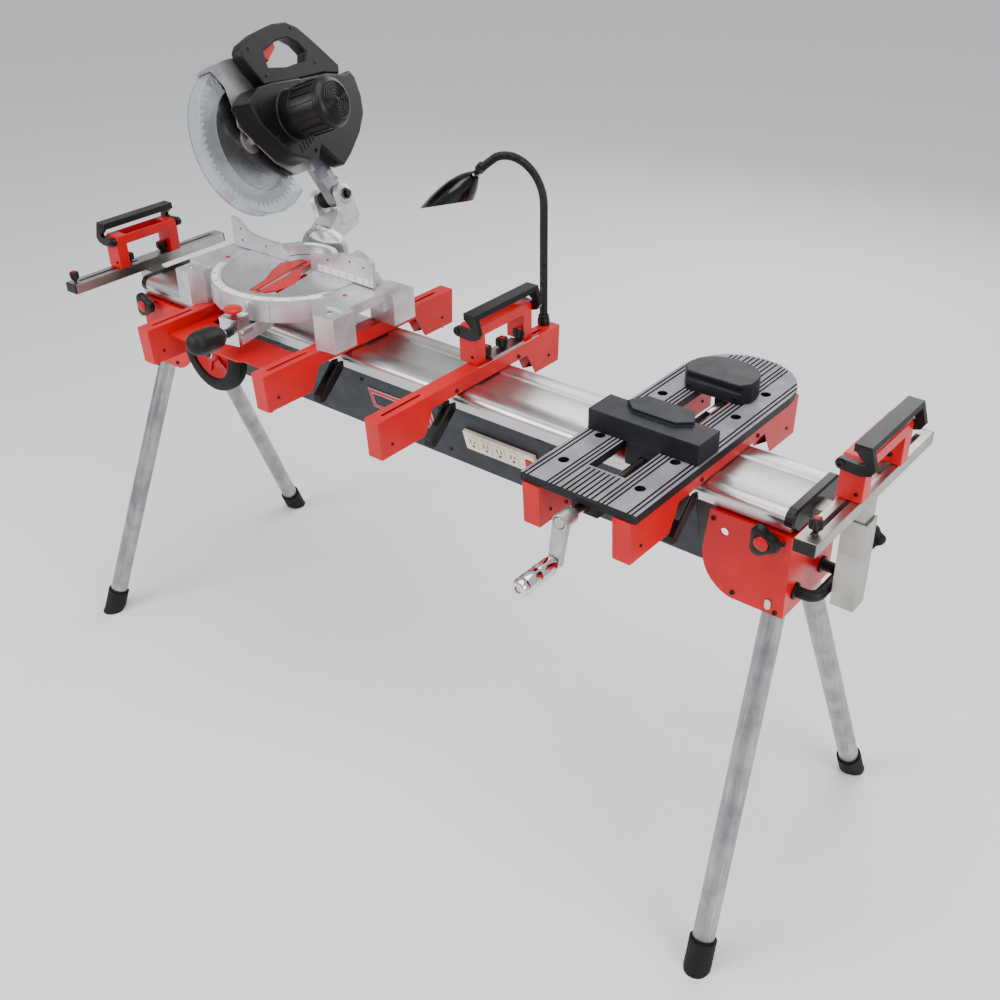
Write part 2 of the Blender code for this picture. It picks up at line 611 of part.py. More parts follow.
def vise_jaws(frame):
    middle = (VISE_LEFT + VISE_RIGHT) / 2
    z = VISE_TOP + GAP
    arc_half = 0.064
    back = [(middle + arc_half * c, 0.135 + 0.052 * s) for c, s in arc(0, 0, 1, 0, 180, 10)]
    fixed = prism([(middle - arc_half, 0.118), (middle - 0.050, 0.100), (middle + 0.050, 0.100),
                   (middle + arc_half, 0.118)] + back,
                  "Z", z, z + 0.036)
    groove = block(middle - 0.1, middle + 0.1, 0.090, 0.1035, z + 0.020, z + 0.029)
    piece("vise_rear_jaw", cut(fixed, groove), BLACK, frame)
    side = 0.102
    front, rear = -0.112, -0.050
    body = block(middle - side, middle + side, front, rear, z, z + 0.036)
    hump = prism([(middle - 0.062, -0.060), (middle - 0.044, -0.028), (middle + 0.044, -0.028),
                  (middle + 0.062, -0.060),
                  (middle + 0.040, -0.080), (middle - 0.040, -0.080)], "Z", z + 0.003, z + 0.042)
    slider = block(middle - 0.033, middle + 0.033, front + 0.006, rear - 0.002, SCREW_Z - 0.0125, z + 0.004)
    bore = rod((SCREW_X, -0.20, SCREW_Z), (SCREW_X, 0.0, SCREW_Z), 0.0088, 16)
    piece("vise_jaw", cut(join(body, hump, slider), bore), SLATE, frame)


def vise_screw(frame):
    """Lead screw with its crank arm, and the free-turning grip on the arm's pin."""
    start, end = -0.322, 0.168
    shaft = rod((SCREW_X, start, SCREW_Z), (SCREW_X, end, SCREW_Z), 0.0080, 16)
    hub = rod((SCREW_X, -0.325, SCREW_Z), (SCREW_X, -0.292, SCREW_Z), 0.0135, 16)
    arm_end = Vector((SCREW_X - 0.010, 0, SCREW_Z - 0.076))
    arm = prism([(SCREW_X - 0.013, SCREW_Z + 0.004), (SCREW_X + 0.013, SCREW_Z + 0.004),
                 (arm_end.x + 0.012, arm_end.z - 0.010), (arm_end.x - 0.012, arm_end.z - 0.010)], "Y",
                 -0.326, -0.312)
    pin = rod((arm_end.x, -0.408, arm_end.z), (arm_end.x, -0.320, arm_end.z), 0.0055, 12)
    pivot = (SCREW_X, -0.30, SCREW_Z)
    piece("vise_screw", join(shaft, hub, arm, pin), STEEL, frame, pivot)
    grip = turned([(0.0060, 0), (0.0125, 0), (0.0150, 0.006), (0.0150, 0.078), (0.0125, 0.084),
                   (0.0060, 0.084)],
                  (arm_end.x, -0.327, arm_end.z), (0, -1, 0), 16)
    piece("crank_grip", grip, CHROME, frame, (arm_end.x, -0.36, arm_end.z))


# ---------------------------------------------------------------- mitre saw, base
def saw_base(frame):
    """Base casting: ring round the turntable, two wings and four feet. Drawn about the turntable's middle."""
    wing_top = -0.002
    low = -0.045
    ring = turned([(0, low), (0.168, low), (0.168, wing_top), (0, wing_top)], (0, 0, 0), (0, 0, 1), 40)
    left = block(-0.214, -0.100, -0.094, 0.060, low + 0.003, wing_top - 0.0004)
    right = block(0.100, 0.222, -0.094, 0.060, low + 0.003, wing_top - 0.0004)
    feet = []
    foot_low = CHANNEL_TOP + GAP - TABLE[2]
    left_foot = [(-0.205, -0.075), (-0.205, -0.138), (-0.168, -0.138), (-0.150, -0.112), (-0.150, -0.075)]
    right_foot = [(0.234, -0.075), (0.234, -0.130), (0.188, -0.136), (0.180, -0.112), (0.180, -0.075)]
    for outline in (left_foot, right_foot):
        feet.append(prism(outline, "Z", foot_low, wing_top - 0.004))
    for x0, x1, y0, y1 in ((-0.212, -0.152, 0.030, 0.088), (0.168, 0.232, 0.030, 0.088)):
        feet.append(block(x0, x1, y0, y1, foot_low, wing_top - 0.012))
    body = join(ring, left, right, *feet)
    well = rod((0, 0, -0.031), (0, 0, 0.02), TABLE_RADIUS + GAP, 40)
    hole = rod((0, 0, -0.08), (0, 0, 0.02), 0.135, 40)
    far = 0.30
    wedge = [(0, 0)] + [(far * math.cos(math.radians(a)), far * math.sin(math.radians(a))) for a in (30, 60,
            90, 120, 150)]
    keep_wings = prism(wedge, "Z", -0.08, 0.02)
    arches = [block(x0, x1, -0.060, 0.012, foot_low - 0.01, -0.022) for x0, x1 in ((-0.25, -0.170),
                                                                                   (0.175, 0.25))]
    body = cut(body, well, hole, keep_wings, *arches)
    piece("saw_base", body, CAST, frame)


def turntable(frame):
    """Turntable with the throat, the handle arm below and the bevel plate at the rear. Saw frame."""
    disc = rod((0, 0, -0.030), (0, 0, 0), TABLE_RADIUS, 40)
    web = block(-0.016, 0.016, -0.128, -0.055, -0.070, -0.028)
    arm = block(-0.018, 0.018, -0.222, -0.085, -0.0725, -0.0475)
    nose = block(-0.020, 0.020, -0.224, -0.186, -0.074, -0.0210)
    plate = prism(arc(0, 0, 0.053, -12, 192, 16) + [(-0.050, -0.028), (0.050, -0.028)], "Y", 0.094, 0.104)
    body = join(disc, web, arm, nose)
    notch = block(-0.057, 0.057, 0.1045, 0.160, -0.05, 0.02)
    throat = block(-0.014, 0.044, -0.135, 0.040, -0.060, 0.02)
    recess = prism(insert_outline(0.0005), "Z", -0.0035, 0.02)
    body = cut(body, throat, notch, recess)
    hub = rod((0, 0.09, 0.0), (0, 0.1075, 0.0), 0.012, 16)
    piece("turntable", join(body, plate, hub), CAST, frame)


def insert_outline(grow=0.0):
    """Bow-tie outline of the kerf insert, wide in the middle of each side."""
    g = grow
    return [(-0.016 - g, -0.128 - g), (0.008 + g, -0.140 - g), (0.034 + g, -0.112), (0.048 + g, -0.075),
            (0.036 + g, -0.040),
            (0.014 + g, 0.0), (0.012 + g, 0.036), (0.000, 0.046 + g), (-0.022 - g, 0.040 + g),
            (-0.044 - g, 0.010),
            (-0.034 - g, -0.035), (-0.018 - g, -0.080)]


def kerf_insert(frame):
    plate = prism(insert_outline(), "Z", -0.0032, -0.0004)
    slit = block(-0.005, 0.005, -0.128, 0.034, -0.02, 0.02)
    piece("kerf_insert", cut(plate, slit), RED, frame)


def fence(frame):
    """One fence casting: tapered left wing, right wing and the bow behind that joins them."""
    left = [(-0.200, 0.0005), (-0.032, 0.0005), (-0.062, 0.030), (-0.120, 0.032), (-0.150, 0.036),
            (-0.180, 0.056), (-0.200, 0.060)]
    right = [(0.030, 0.0005), (0.200, 0.0005), (0.200, 0.050), (0.192, 0.057), (0.120, 0.052),
             (0.080, 0.040), (0.030, 0.031)]
    shapes = [prism(left, "Y", 0.012, 0.020), prism(right, "Y", 0.012, 0.020)]
    bow = arc(0, 0.014, 0.074, 0, 180, 14) + arc(0, 0.014, 0.062, 180, 0, 14)
    shapes.append(prism(bow, "Z", 0.0008, 0.020))
    for x0, x1 in ((-0.190, -0.124), (0.124, 0.190)):
        shapes.append(block(x0, x1, 0.015, 0.046, 0.0012, 0.010))
    piece("fence", join(*shapes), CAST, frame)


def miter_handle(frame):
    """Round grip that screws in to lock the turntable, on the arm's nose."""
    start = (0, -0.2265, -0.048)
    along = Vector((0, -1.0, 0.16))
    profile = [(0, 0), (0.010, 0), (0.009, 0.022), (0.016, 0.028), (0.0225, 0.036), (0.0230, 0.084),
               (0.019, 0.098), (0.010, 0.104),
               (0, 0.105)]
    piece("miter_handle", turned(profile, start, along, 20), BLACK, frame, start)


def detent_lever(frame):
    """Flat thumb cap on the arm's nose that lifts the detent."""
    cap = turned([(0, 0), (0.006, 0), (0.006, 0.006), (0.018, 0.009), (0.018, 0.014), (0.012, 0.017),
                  (0, 0.017)],
                 (0, -0.205, -0.0205), (0, 0, 1), 16)
    piece("detent_lever", cap, RED, frame, (0, -0.205, -0.0205))


# ---------------------------------------------------------------- mitre saw, head
def arm_support(frame):
    """Bevel arm: disc on the bevel axis, column, and two ears with the chop pivot pin. Bevel frame."""
    s, h = PIVOT
    disc = pipe((0, 0.1080, 0), (0, 0.127, 0), 0.040, 0.0125, 24)
    column = prism([(0.1085, 0.016), (0.126, 0.010), (0.200, 0.020), (0.214, 0.052), (0.205, 0.062),
                    (0.160, 0.062),
                    (0.1085, 0.040)], "X", -0.036, 0.030)
    ears = []
    for x0, x1 in ((-0.042, -0.030), (0.022, 0.034)):
        outline = arc(s, h, 0.024, -20, 200, 10) + [(0.150, 0.034), (0.208, 0.034)]
        ears.append(prism(outline, "X", x0, x1))
    pin = rod((-0.046, s, h), (0.038, s, h), 0.008, 16)
    piece("arm_support", join(disc, column, *ears, pin), CAST, frame)


def in_head(radius, angle):
    """A point on a circle about the arbor, angle in degrees from straight back."""
    return (ARBOR[0] + radius * math.cos(math.radians(angle)),
            ARBOR[1] + radius * math.sin(math.radians(angle)))


def upper_guard_outline():
    """Round over the blade's top and back, open along a stepped edge that passes below the arbor."""
    edge = [(-0.011, 0.356), (-0.012, 0.303), (-0.019, 0.283), (0.012, 0.240), (0.043, 0.196),
            (0.086, 0.160)]
    return arc(ARBOR[0], ARBOR[1], GUARD_RADIUS, -40, 110, 24) + edge


def head_casting(frame):
    """Upper guard, arm and pivot knuckle in one casting. Bevel frame, head raised."""
    s, h = PIVOT
    guard = prism(upper_guard_outline(), "X", -0.0185, 0.0185)
    arm_points = [in_head(0.146, -34), (0.162, 0.105)] + arc(s, h, 0.020, 200, 395, 8) + [in_head(0.158,
            -2), in_head(0.146, 2)]
    arm = prism(arm_points, "X", -0.0025, 0.0180)
    cavity = prism(arc(ARBOR[0], ARBOR[1], GUARD_RADIUS - 0.003, 0, 354, 59), "X", -0.0158, 0.0158)
    eye = rod((-0.05, s, h), (0.05, s, h), 0.0085, 16)
    shaft = rod((0.0, ARBOR[0], ARBOR[1]), (0.05, ARBOR[0], ARBOR[1]), 0.0135, 16)
    body = cut(join(guard, arm), cavity, eye, shaft)
    piece("head_casting", body, CAST, frame, (0, s, h))


def motor_housing(frame):
    """Black gear case against the guard and the round motor standing out to the right."""
    s, h = PIVOT
    case = [(-0.022, 0.318), (0.020, 0.336), (0.066, 0.3340), (0.147, 0.3250), (0.148, 0.300),
            (0.148, 0.212), (0.112, 0.176), (0.085, 0.178),
            (0.040, 0.200), (-0.012, 0.272)]
    body = prism(case, "X", 0.0190, 0.068)
    motor = turned([(0, 0), (0.048, 0), (0.048, 0.106), (0.044, 0.112), (0.036, 0.116), (0, 0.116)],
                   (0.060, 0.088, 0.266), (1, 0, 0), 32)
    shaft = rod((0.01, ARBOR[0], ARBOR[1]), (0.045, ARBOR[0], ARBOR[1]), 0.0135, 16)
    piece("motor_housing", cut(join(body, motor), shaft), BLACK, frame, (0, s, h))


def d_handle(frame):
    """Closed D-handle over the head, in a plane beside the blade."""
    s, h = PIVOT
    outer = [(0.066, 0.3350), (0.052, 0.362), (0.037, 0.394), (0.039, 0.407), (0.052, 0.417),
             (0.096, 0.428), (0.158, 0.434),
             (0.198, 0.430), (0.226, 0.416), (0.252, 0.390), (0.288, 0.350), (0.312, 0.322), (0.304, 0.306),
             (0.255, 0.3185),
             (0.160, 0.3245)]
    inner = [(0.098, 0.362), (0.102, 0.392), (0.150, 0.403), (0.186, 0.402), (0.208, 0.388), (0.224, 0.366),
             (0.214, 0.352),
             (0.150, 0.352)]
    loop = prism(outer, "X", 0.0192, 0.0452)
    hole = prism(inner, "X", 0.0, 0.06)
    pocket = block(0.0265, 0.0380, 0.104, 0.150, 0.380, 0.4195)
    piece("d_handle", cut(loop, hole, pocket), BLACK, frame, (0, s, h))


def trigger(frame):
    shape = prism([(0.1085, 0.381), (0.113, 0.372), (0.121, 0.378), (0.148, 0.392), (0.148, 0.411),
                   (0.1085, 0.411)], "X", 0.0271, 0.0374)
    piece("trigger", shape, RED, frame, (0.032, 0.146, 0.409))


def belt_cover(frame):
    """Black rear cover behind the motor, level with the handle."""
    s, h = PIVOT
    outline = [(0.149, 0.300), (0.160, 0.322), (0.254, 0.3165), (0.306, 0.302), (0.326, 0.306),
               (0.336, 0.290), (0.334, 0.250),
               (0.320, 0.216), (0.286, 0.184), (0.236, 0.154), (0.200, 0.139), (0.186, 0.148),
               (0.149, 0.196)]
    piece("belt_cover", prism(outline, "X", 0.0195, 0.052), BLACK, frame, (0, s, h))


def blade(frame):
    """Toothed disc with its arbor shaft."""
    teeth = 40
    outline = []
    for k in range(teeth):
        angle = 360.0 * k / teeth
        outline.append(in_head(BLADE_RADIUS, angle))
        outline.append(in_head(BLADE_RADIUS - 0.006, angle - 2.5))
    disc = prism(outline, "X", -0.0011, 0.0011)
    shaft = rod((-0.010, ARBOR[0], ARBOR[1]), (0.040, ARBOR[0], ARBOR[1]), 0.0125, 16)
    washer = rod((-0.005, ARBOR[0], ARBOR[1]), (0.0055, ARBOR[0], ARBOR[1]), 0.026, 24)
    piece("blade", join(disc, washer, shaft), STEEL, frame, (0, ARBOR[0], ARBOR[1]))


GUARD_SPAN = (108.0, 300.0)       # where the lower guard covers the blade, in degrees from straight back


def lower_guard(frame):
    """Clear lower guard: a rim and two side walls about the arbor, over the blade's front and underside."""
    first, last = GUARD_SPAN
    outer = GUARD_RADIUS - 0.004
    fan = arc(ARBOR[0], ARBOR[1], outer, first, last, 28) + arc(ARBOR[0], ARBOR[1], 0.018, last, first, 8)
    body = prism(fan, "X", -0.0145, 0.0145)
    inside = prism(arc(ARBOR[0], ARBOR[1], outer - 0.002, 0, 355, 71), "X", -0.0125, 0.0125)
    window = prism(arc(ARBOR[0], ARBOR[1], 0.100, 0, 355, 71), "X", 0.010, 0.020)
    boss = rod((-0.0145, ARBOR[0], ARBOR[1]), (-0.0125, ARBOR[0], ARBOR[1]), 0.034, 24)
    eye = rod((-0.03, ARBOR[0], ARBOR[1]), (0.0, ARBOR[0], ARBOR[1]), 0.0135, 16)
    piece("lower_guard", cut(join(cut(body, inside, window), boss), eye), CLEAR, frame,
          (0, ARBOR[0], ARBOR[1]))


# ---------------------------------------------------------------- assembly
def build_stand(frame):
    main_beam(frame)
    under_housing(frame)
    for side in ("left", "right"):
        leg_bracket(frame, side)
        for end in ("front", "rear"):
            leg(frame, side, end)
    wheel(frame, "wheel_front", -1)
    wheel(frame, "wheel_rear", 1)
    plate = BRACKET_PLATE + GAP
    hand_knob("lock_knob_left", frame, (-0.753, -plate, 0.737), (0, -1, 0), 0.028, 0.012)
    hand_knob("lock_knob_right", frame, (0.753, -plate, 0.737), (0, -1, 0), 0.028, 0.012)
    carry_handle(frame)
    power_strip(frame)
    for side in ("left", "right"):
        extension(frame, side)
        top = rail(frame, side)
        x = RAIL_X[side]
        support(frame, side, x, SUPPORT_Y[side], top)
        flip_stop(frame, side, x, SUPPORT_Y[side], top, 1 if side == "right" else -1)
    hand_knob("post_knob_right", frame, (RAIL_X["right"], SLEEVE / 2 + GAP, 0.698), (0, 1, 0), 0.021, 0.040)


def build_mounts(frame):
    channel(frame, "saw_channel_left", 0.145)
    channel(frame, "saw_channel_right")
    channel(frame, "support_channel", 0.115, 0.216)
    channel(frame, "vise_channel_left")
    channel(frame, "vise_channel_right")
    saw_mount_plate(frame)
    support(frame, "middle", MIDDLE_SUPPORT[0], MIDDLE_SUPPORT[1], CHANNEL_TOP)
    flip_stop(frame, "middle", MIDDLE_SUPPORT[0], MIDDLE_SUPPORT[1], CHANNEL_TOP, 1)
    for name, channel_name in (("saw_release_lever", "saw_channel_right"), ("support_release_lever",
                                                                            "support_channel"),
                               ("vise_release_lever", "vise_channel_right")):
        release_lever(frame, name, CHANNEL_X[channel_name])
    lamp_neck(frame)
    lamp_shade(frame)
    vise_table(frame)
    vise_jaws(frame)
    vise_screw(frame)


def build_saw(frame):
    base = empty("saw_seat", frame, TABLE)
    saw_base(base)
    fence(base)
    turn = empty("miter_axis", base, (0, 0, 0), (0, 0, MITRE))
    turntable(turn)
    kerf_insert(turn)
    miter_handle(turn)
    detent_lever(turn)
    tilt = empty("bevel_axis", turn, (0, 0, 0), (0, BEVEL, 0))
    arm_support(tilt)
    head_casting(tilt)
    motor_housing(tilt)
    d_handle(tilt)
    trigger(tilt)
    belt_cover(tilt)
    blade(tilt)
    lower_guard(tilt)


def main():
    clear_scene()
    frame = empty("stand_frame", None, ORIGIN_SHIFT)
    build_stand(frame)
    build_mounts(frame)
    build_saw(frame)


main()
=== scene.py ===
"""Looks of a compound mitre saw on a folding stand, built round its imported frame.

Every new shape is a set of closed rings of points worked out as whole arrays, and each ring grid is one
closed shell. CAD shapes that are already right are copied with their edges eased. Metres, +Z up.
"""
import json
import math

import bmesh
import bpy
import numpy as np
from mathutils import Matrix, Vector

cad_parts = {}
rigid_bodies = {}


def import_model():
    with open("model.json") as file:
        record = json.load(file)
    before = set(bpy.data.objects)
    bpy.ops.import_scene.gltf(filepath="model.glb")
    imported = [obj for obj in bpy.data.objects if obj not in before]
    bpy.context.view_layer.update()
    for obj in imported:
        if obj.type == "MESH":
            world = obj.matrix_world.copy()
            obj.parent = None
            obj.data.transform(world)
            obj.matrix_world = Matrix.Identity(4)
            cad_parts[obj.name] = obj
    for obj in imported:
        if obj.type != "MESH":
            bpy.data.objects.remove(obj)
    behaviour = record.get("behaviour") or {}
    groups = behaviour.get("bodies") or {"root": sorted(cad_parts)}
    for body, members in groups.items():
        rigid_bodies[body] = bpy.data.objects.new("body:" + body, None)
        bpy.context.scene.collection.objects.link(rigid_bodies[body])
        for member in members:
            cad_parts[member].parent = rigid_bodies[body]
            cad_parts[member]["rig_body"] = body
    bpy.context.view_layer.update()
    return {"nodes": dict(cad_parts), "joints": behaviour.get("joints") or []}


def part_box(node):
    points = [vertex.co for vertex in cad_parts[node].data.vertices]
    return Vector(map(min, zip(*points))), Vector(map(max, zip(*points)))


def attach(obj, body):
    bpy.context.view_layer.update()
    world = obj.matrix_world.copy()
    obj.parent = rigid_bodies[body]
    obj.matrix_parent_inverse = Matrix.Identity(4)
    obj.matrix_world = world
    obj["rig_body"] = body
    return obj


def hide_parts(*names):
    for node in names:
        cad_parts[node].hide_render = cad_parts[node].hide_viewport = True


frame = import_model()

JOINTS = {joint["name"]: joint for joint in frame["joints"]}
X, Y, Z = np.eye(3)


# ---------------------------------------------------------------- places
def box(node):
    """Lowest and highest corner of a CAD node as two arrays."""
    low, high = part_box(node)
    return np.array(low), np.array(high)


def middle(node):
    return sum(box(node)) / 2


def spot(joint):
    return np.array(JOINTS[joint]["pos_m"], float)


def way(joint):
    return np.array(JOINTS[joint]["axis"], float)


def vertices(node):
    mesh = frame["nodes"][node].data
    flat = np.empty(len(mesh.vertices) * 3, np.float32)
    mesh.vertices.foreach_get("co", flat)
    return flat.reshape(-1, 3).astype(float)


def long_axis(node, towards):
    """Start, direction and length of a rod-like node, from its points' main direction."""
    points = vertices(node)
    centre = (points.min(0) + points.max(0)) / 2
    along = np.linalg.svd(points - points.mean(0), full_matrices=False)[2][0]
    along = along * np.sign(along @ np.asarray(towards, float))
    reach = (points - centre) @ along
    return centre + along * reach.min(), along, reach.max() - reach.min()


STAND = middle("main_beam") * (1, 1, 0)          # the stand's own middle, on the floor
TABLE = spot("miter_swing")                      # middle of the turntable, on its top face
SWING = way("bevel_tilt")                        # the bevel axis, straight back from the turned table
SIDE = way("head_chop")                          # the chop axis, to the right across the leaning head
AXES = {"world": (np.eye(3), np.zeros(3)),
        "stand": (np.eye(3), STAND),
        "base": (np.eye(3), TABLE),
        "saw": (np.stack([np.cross(SWING, Z), SWING, Z]), TABLE),
        "head": (np.stack([SIDE, SWING, np.cross(SIDE, SWING)]), TABLE)}


def put(points, where):
    """Points drawn in one of the four frames above, carried to the row frame."""
    turn, origin = AXES[where]
    return np.asarray(points, float) @ turn + origin


def direction(vector, where):
    return np.asarray(vector, float) @ AXES[where][0]


def aim(points, start, along, up=Z):
    """Points drawn about +Z, turned so that +Z runs along a direction, and moved to a start."""
    along = np.asarray(along, float) / np.linalg.norm(along)
    side = np.cross(up, along)
    if np.linalg.norm(side) < 1e-6:
        side = X
    side = side / np.linalg.norm(side)
    return points @ np.stack([side, np.cross(along, side), along]) + np.asarray(start, float)


def swing(points, degrees, axis):
    """Points turned about a frame axis through the origin, right-handed, by an angle in degrees."""
    first, second = {"X": (1, 2), "Y": (2, 0), "Z": (0, 1)}[axis]
    cosine, sine = math.cos(math.radians(degrees)), math.sin(math.radians(degrees))
    turned = np.array(points, float)
    turned[..., first] = points[..., first] * cosine - points[..., second] * sine
    turned[..., second] = points[..., first] * sine + points[..., second] * cosine
    return turned


# ---------------------------------------------------------------- ring shapes
def lathe(profile, sides=48, lobes=0, wave=0.0):
    """Radius-and-height points carried round Z. Lobes add a wave of that depth to the radius."""
    radius, height = np.array(profile, float).T
    angle = np.linspace(0, 2 * np.pi, sides, endpoint=False)
    swell = 1 + wave * np.cos(lobes * angle)
    ring = np.stack([np.cos(angle) * swell, np.sin(angle) * swell], 1)
    points = np.empty((len(radius), sides, 3))
    points[..., :2] = radius[:, None, None] * ring
    points[..., 2] = height[:, None]
    return points


def inset(outline, distance):
    """Each corner of a closed outline moved inwards along the mean of its two edges' normals."""
    outline = np.asarray(outline, float)
    edge = np.roll(outline, -1, 0) - outline
    edge /= np.linalg.norm(edge, axis=1, keepdims=True) + 1e-12
    area = np.sum(np.cross(np.c_[outline, np.zeros(len(outline))], np.c_[np.roll(outline, -1, 0),
                                                                         np.zeros(len(outline))])[:, 2])
    normal = np.stack([-edge[:, 1], edge[:, 0]], 1) * np.sign(area)
    mean = normal + np.roll(normal, 1, 0)
    mean /= np.maximum(np.sum(mean * normal, 1, keepdims=True), 0.4)
    return outline + mean * distance


def slab(outline, low, high, ease=0.0008, axis="Z"):
    """A closed outline carried from low to high, its two rims eased by insetting the end rings."""
    rows = [(ease, low), (0.0, low + ease), (0.0, high - ease), (ease, high)]
    points = np.empty((4, len(outline), 3))
    for row, (shrink, height) in enumerate(rows):
        points[row, :, :2] = inset(outline, shrink)
        points[row, :, 2] = height
    order = {"X": [2, 0, 1], "Y": [0, 2, 1], "Z": [0, 1, 2]}[axis]
    return points[..., order]


def brick(low, high, ease=0.0008):
    """A block between two corners with eased rims."""
    (x0, y0, z0), (x1, y1, z1) = low, high
    return slab([(x0, y0), (x1, y0), (x1, y1), (x0, y1)], z0, z1, ease)


def arc(cx, cy, radius, start, end, steps, tall=None):
    """Points on an arc, angles in degrees; tall is the second radius of an ellipse."""
    angle = np.radians(np.linspace(start, end, steps + 1))
    return np.stack([cx + radius * np.cos(angle), cy + (tall or radius) * np.sin(angle)], 1)


def pill(length, width, steps=8):
    """Outline of a slot with round ends, its length along the first axis."""
    half, radius = length / 2 - width / 2, width / 2
    return np.concatenate([arc(half, 0, radius, -90, 90, steps), arc(-half, 0, radius, 90, 270, steps)])


def tube(path, radius, sides=24, normal=Y):
    """A round section carried along a path that stays in one plane; radius may change along it."""
    path = np.asarray(path, float)
    ahead = np.gradient(path, axis=0)
    ahead /= np.linalg.norm(ahead, axis=1, keepdims=True)
    level = np.broadcast_to(np.asarray(normal, float), path.shape)
    across = np.cross(ahead, level)
    angle = np.linspace(0, 2 * np.pi, sides, endpoint=False)
    radius = np.broadcast_to(np.asarray(radius, float), len(path))[:, None, None]
    spin = np.cos(angle)[None, :, None] * across[:, None] + np.sin(angle)[None, :, None] * level[:, None]
    return path[:, None] + radius * spin


def coil(radius, wire, pitch, turns, steps=28, sides=8):
    """A helix about Z with a round wire: the wire's section swings with the helix's own radius."""
    angle = np.linspace(0, 2 * np.pi * turns, int(turns * steps) + 1)
    out = np.stack([np.cos(angle), np.sin(angle), np.zeros_like(angle)], 1)
    path = out * radius + Z * (angle / (2 * np.pi) * pitch)[:, None]
    around = np.linspace(0, 2 * np.pi, sides, endpoint=False)
    section = np.cos(around)[None, :, None] * out[:, None] + np.sin(around)[None, :, None] * Z
    return path[:, None] + section * wire


def dense(points, spacing):
    """A smooth path resampled evenly along its length."""
    points = np.asarray(points, float)
    length = np.concatenate([[0], np.cumsum(np.linalg.norm(np.diff(points, axis=0), axis=1))])
    even = np.linspace(0, length[-1], int(length[-1] / spacing) + 2)
    return np.stack([np.interp(even, length, points[:, k]) for k in range(3)], 1), even


# ---------------------------------------------------------------- pieces
def finish_piece(name, mesh, finish, body, stands_for, smooth, ease):
    mesh.materials.clear()
    mesh.materials.append(finish)
    mesh.shade_smooth()
    mesh.set_sharp_from_angle(angle=math.radians(smooth))
    piece = bpy.data.objects.new(name, mesh)
    bpy.context.scene.collection.objects.link(piece)
    if ease:
        bevel = piece.modifiers.new("eased_edges", "BEVEL")
        bevel.width = ease
        bevel.segments = 2 if ease < 0.003 else 4
        bevel.limit_method = "ANGLE"
        bevel.angle_limit = math.radians(30)
    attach(piece, body)
    if stands_for:
        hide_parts(*stands_for)
    return piece


def build(name, grids, finish, body, stands_for=(), smooth=35):
    """Ring grids joined into one mesh. Columns wrap round; a grid whose last ring is its first closes on
    itself, and any other is closed by its end rings. The map runs in metres: along the rows, then round."""
    corners, faces, maps, base = [], [], [], 0
    for grid in grids:
        grid = np.asarray(grid, float)
        rows, columns = grid.shape[:2]
        index = base + np.arange(rows * columns).reshape(rows, columns)
        ahead = np.roll(index, -1, 1)
        quads = np.stack([index[:-1], ahead[:-1], ahead[1:], index[1:]], -1).reshape(-1, 4)
        around = np.linalg.norm(np.roll(grid, -1, 1) - grid, axis=2).max(0)
        turn = np.concatenate([[0], np.cumsum(around)])
        step = np.linalg.norm(np.diff(grid, axis=0), axis=2).mean(1)
        run = np.concatenate([[0], np.cumsum(step)])
        u0, v0 = np.meshgrid(turn[:-1], run[:-1])
        u1, v1 = np.meshgrid(turn[1:], run[1:])
        maps.append(np.stack([u0, v0, u1, v0, u1, v1, u0, v1], -1).reshape(-1, 2))
        faces += quads.tolist()
        if not np.allclose(grid[0], grid[-1], atol=1e-7):
            faces += [index[0, ::-1].tolist(), index[-1].tolist()]
            maps.append(np.zeros((2 * columns, 2)))
        corners.append(grid.reshape(-1, 3))
        base += rows * columns
    mesh = bpy.data.meshes.new(name)
    mesh.from_pydata(np.concatenate(corners), [], faces)
    mesh.uv_layers.new(name="run").data.foreach_set("uv", np.concatenate(maps).ravel())
    shape = bmesh.new()
    shape.from_mesh(mesh)
    bmesh.ops.remove_doubles(shape, verts=shape.verts, dist=2e-6)
    bmesh.ops.dissolve_degenerate(shape, edges=shape.edges, dist=1e-6)
    bmesh.ops.recalc_face_normals(shape, faces=shape.faces)
    shape.to_mesh(mesh)
    shape.free()
    return finish_piece(name, mesh, finish, body, stands_for, smooth, 0.0)


def merged_copy(node):
    """A CAD node's triangles merged, with its flat stretches joined into whole faces."""
    shape = bmesh.new()
    shape.from_mesh(frame["nodes"][node].data)
    bmesh.ops.remove_doubles(shape, verts=shape.verts, dist=1e-5)
    bmesh.ops.dissolve_limit(shape, angle_limit=math.radians(0.6), verts=shape.verts, edges=shape.edges)
    mesh = bpy.data.meshes.new(node + "_shell")
    shape.to_mesh(mesh)
    shape.free()
    return mesh


def eased(node, finish, ease=0.0010, smooth=32, mesh=None):
    """A CAD node's own shape with its edges rounded off by ease, standing for the node."""
    body = frame["nodes"][node]["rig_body"]
    mesh = mesh or merged_copy(node)
    return finish_piece(node + "_shell", mesh, finish, body, (node,), smooth, ease)


